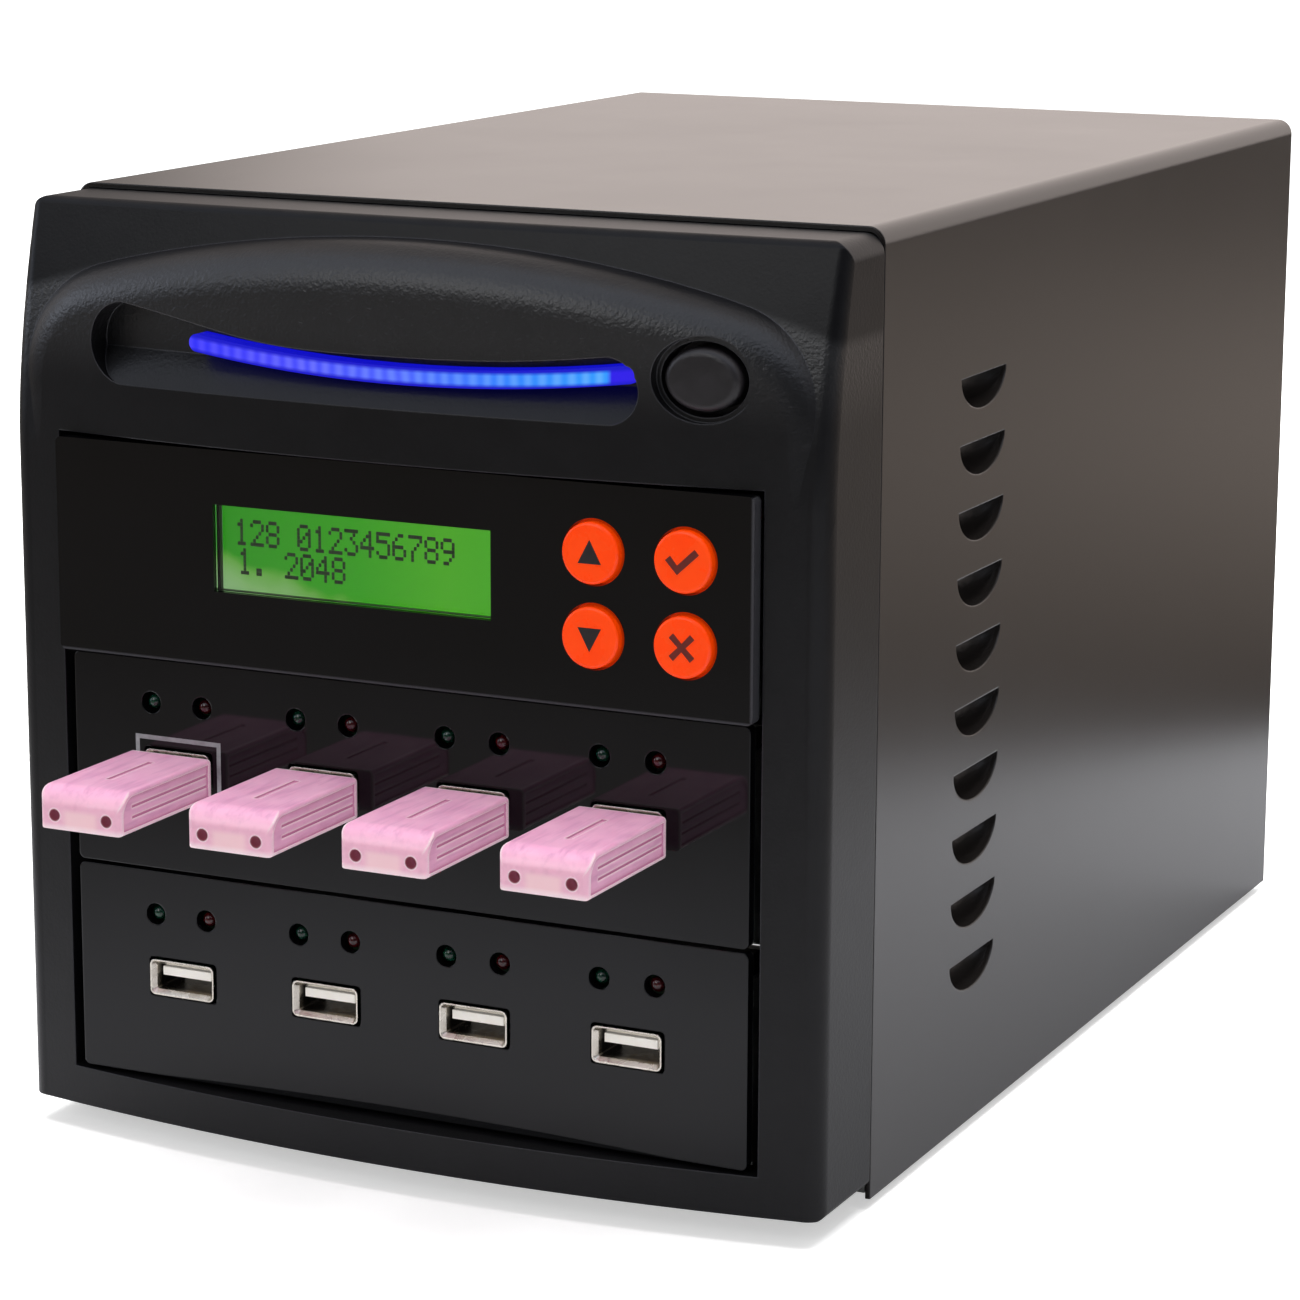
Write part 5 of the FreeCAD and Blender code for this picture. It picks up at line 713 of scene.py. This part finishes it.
def make_floor():
    """White table that runs out of the picture: white to the camera but for the shadow near the object.

    Other rays meet a greyer table, paler near the object, as the object's mirror images show it."""
    mesh = bmesh.new()
    bmesh.ops.create_circle(mesh, cap_ends=True, segments=FLOOR_SIDES, radius=FLOOR_RADIUS)
    data = bpy.data.meshes.new("floor")
    mesh.to_mesh(data)
    mesh.free()
    material, tree = blank("white table")
    rays = add(tree, "ShaderNodeLightPath", {})
    where = add(tree, "ShaderNodeTexCoord", {}).outputs["Object"]
    split = add(tree, "ShaderNodeSeparateXYZ", {}, [(0, where)])
    reach = add(tree, "ShaderNodeVectorMath", {"operation": "LENGTH"}, [(0, where)]).outputs["Value"]
    around = add(tree, "ShaderNodeValToRGB", {"stops": FLOOR_TONES}, [(0, reach)])
    slant = add(tree, "ShaderNodeMath", {"operation": "MULTIPLY_ADD", 1: SLANT},
                [(0, split.outputs["Y"]), (2, split.outputs["X"])])
    beside = add(tree, "ShaderNodeValToRGB", {"stops": BESIDE_TONES}, [(0, slant)])
    right = add(tree, "ShaderNodeMapRange", {**SMOOTH, "From Min": BESIDE[0], "From Max": BESIDE[1]},
                [("Value", split.outputs["X"])])
    bounced = add(tree, "ShaderNodeMix", {"data_type": "RGBA"},
                  [(SHARE, right), (BELOW, around), (ABOVE, beside)])
    table = add(tree, "ShaderNodeBsdfDiffuse", {}, [("Color", bounced.outputs[MIXED])])
    lit = add(tree, "ShaderNodeBsdfDiffuse", {"Color": "#f1f1f1"})
    away = add(tree, "ShaderNodeMapRange", {**SMOOTH, "From Min": 0.2, "From Max": 0.8, "To Min": 0.5,
                                            "To Max": 1.0}, [("Value", reach)])
    glow = add(tree, "ShaderNodeEmission", {"Color": "#ffffff"}, [("Strength", away)])
    both = add(tree, "ShaderNodeAddShader", {}, [(0, lit), (1, glow)])
    pick = add(tree, "ShaderNodeMixShader", {}, [(0, rays.outputs["Is Camera Ray"]), (1, table), (2, both)])
    add(tree, "ShaderNodeOutputMaterial", {}, [("Surface", pick)])
    data.materials.append(material)
    floor = bpy.data.objects.new("floor", data)
    bpy.context.scene.collection.objects.link(floor)


# Strengths of the light from all round, of the backdrop in mirror images, and of the pale panels in them
AMBIENT = 0.4
BACKDROP = 2.1
SIDE_PANEL = 3.8

# The backdrop in mirror images, from in front of the object to behind it
BACKDROP_TONES = ((0.14, "#202226"), (0.4, "#74767c"), (0.8, "#a8a09c"), (1.0, "#c8bdb8"))

# Where the backdrop is dusky and where its pale panels are: each edge is an axis, its start and end as parts
# of a unit vector, and the share that it reaches. X points to the object's right, Y behind it and Z up.
REGIONS = {
    "dusk": (("X", -0.47, -0.57, 1.0), ("Y", 0.3, 0.7, 1.0)),
    "panel above": (("Z", 0.46, 0.66, 1.0), ("Y", 0.1, -0.25, 0.34)),
    "panel to the left": (("Z", -0.05, 0.2, 1.0), ("X", -0.72, -0.9, 1.0), ("Y", -0.08, -0.28, 1.0)),
}


def make_world():
    """White backdrop to the camera; mirror images show it dim in front and paler behind, with two panels."""
    world = bpy.data.worlds.new("backdrop")
    bpy.context.scene.world = world
    world.use_nodes = True
    tree = world.node_tree
    tree.nodes.clear()
    rays = add(tree, "ShaderNodeLightPath", {})
    where = add(tree, "ShaderNodeTexCoord", {}).outputs["Generated"]
    split = add(tree, "ShaderNodeSeparateXYZ", {}, [(0, where)])
    masks = {}
    for name, edges in REGIONS.items():
        for axis, start, end, most in edges:
            edge = add(tree, "ShaderNodeMapRange",
                       {**SMOOTH, "From Min": start, "From Max": end, "To Max": most},
                       [("Value", split.outputs[axis])])
            if name in masks:
                edge = add(tree, "ShaderNodeMath", {"operation": "MULTIPLY"}, [(0, masks[name]), (1, edge)])
            masks[name] = edge
    behind = add(tree, "ShaderNodeMapRange", {"From Min": -1.0, "From Max": 1.0},
                 [("Value", split.outputs["Y"])])
    plain = add(tree, "ShaderNodeValToRGB", {"stops": BACKDROP_TONES}, [(0, behind)])
    dusky = add(tree, "ShaderNodeMix", {"data_type": "RGBA", ABOVE: "#46423f"},
                [(SHARE, masks["dusk"]), (BELOW, plain)]).outputs[MIXED]
    panel = add(tree, "ShaderNodeMath", {"operation": "MAXIMUM"},
                [(0, masks["panel above"]), (1, masks["panel to the left"])])
    tone = add(tree, "ShaderNodeMix", {"data_type": "RGBA", ABOVE: "#e6eeff"},
               [(SHARE, panel), (BELOW, dusky)]).outputs[MIXED]
    lift = add(tree, "ShaderNodeMath", {"operation": "MULTIPLY_ADD", 1: SIDE_PANEL - BACKDROP, 2: BACKDROP},
               [(0, panel)])
    mirrored = add(tree, "ShaderNodeBackground", {}, [("Color", tone), ("Strength", lift)])
    around = add(tree, "ShaderNodeBackground", {"Color": "#ffffff", "Strength": AMBIENT})
    white = add(tree, "ShaderNodeBackground", {"Color": "#ffffff", "Strength": 1.0})
    sharp = add(tree, "ShaderNodeMath", {"operation": "MAXIMUM"},
                [(0, rays.outputs["Is Glossy Ray"]), (1, rays.outputs["Is Transmission Ray"])])
    bounced = add(tree, "ShaderNodeMixShader", {}, [(0, sharp), (1, around), (2, mirrored)])
    pick = add(tree, "ShaderNodeMixShader", {},
               [(0, rays.outputs["Is Camera Ray"]), (1, bounced), (2, white)])
    add(tree, "ShaderNodeOutputWorld", {}, [("Surface", pick)])


def softbox(name, at, aim, size, energy, mirrored):
    """Rectangular softbox that faces a point; size is its width and height, and all lengths are in metres."""
    data = bpy.data.lights.new(name, "AREA")
    data.shape = "RECTANGLE"
    data.size, data.size_y = size
    data.energy = energy
    lamp = bpy.data.objects.new(name, data)
    bpy.context.scene.collection.objects.link(lamp)
    lamp.location = at
    lamp.visible_glossy = mirrored
    lamp.rotation_euler = (Vector(aim) - Vector(at)).to_track_quat("-Z", "Y").to_euler()


make_camera()
make_floor()
make_world()
softbox("top_softbox", (0.0, 0.1, 1.25), (0.0, 0.0, 0.0), size=(1.3, 1.0), energy=28.0, mirrored=False)
softbox("front_softbox", (-0.55, -1.5, 0.9), (0.0, 0.0, 0.1), size=(0.9, 0.7), energy=5.0, mirrored=True)
softbox("back_softbox", (0.0, 1.3, 0.75), (0.0, 0.0, 0.2), size=(1.6, 0.7), energy=10.0, mirrored=False)
bpy.context.scene.view_settings.view_transform = "Standard"
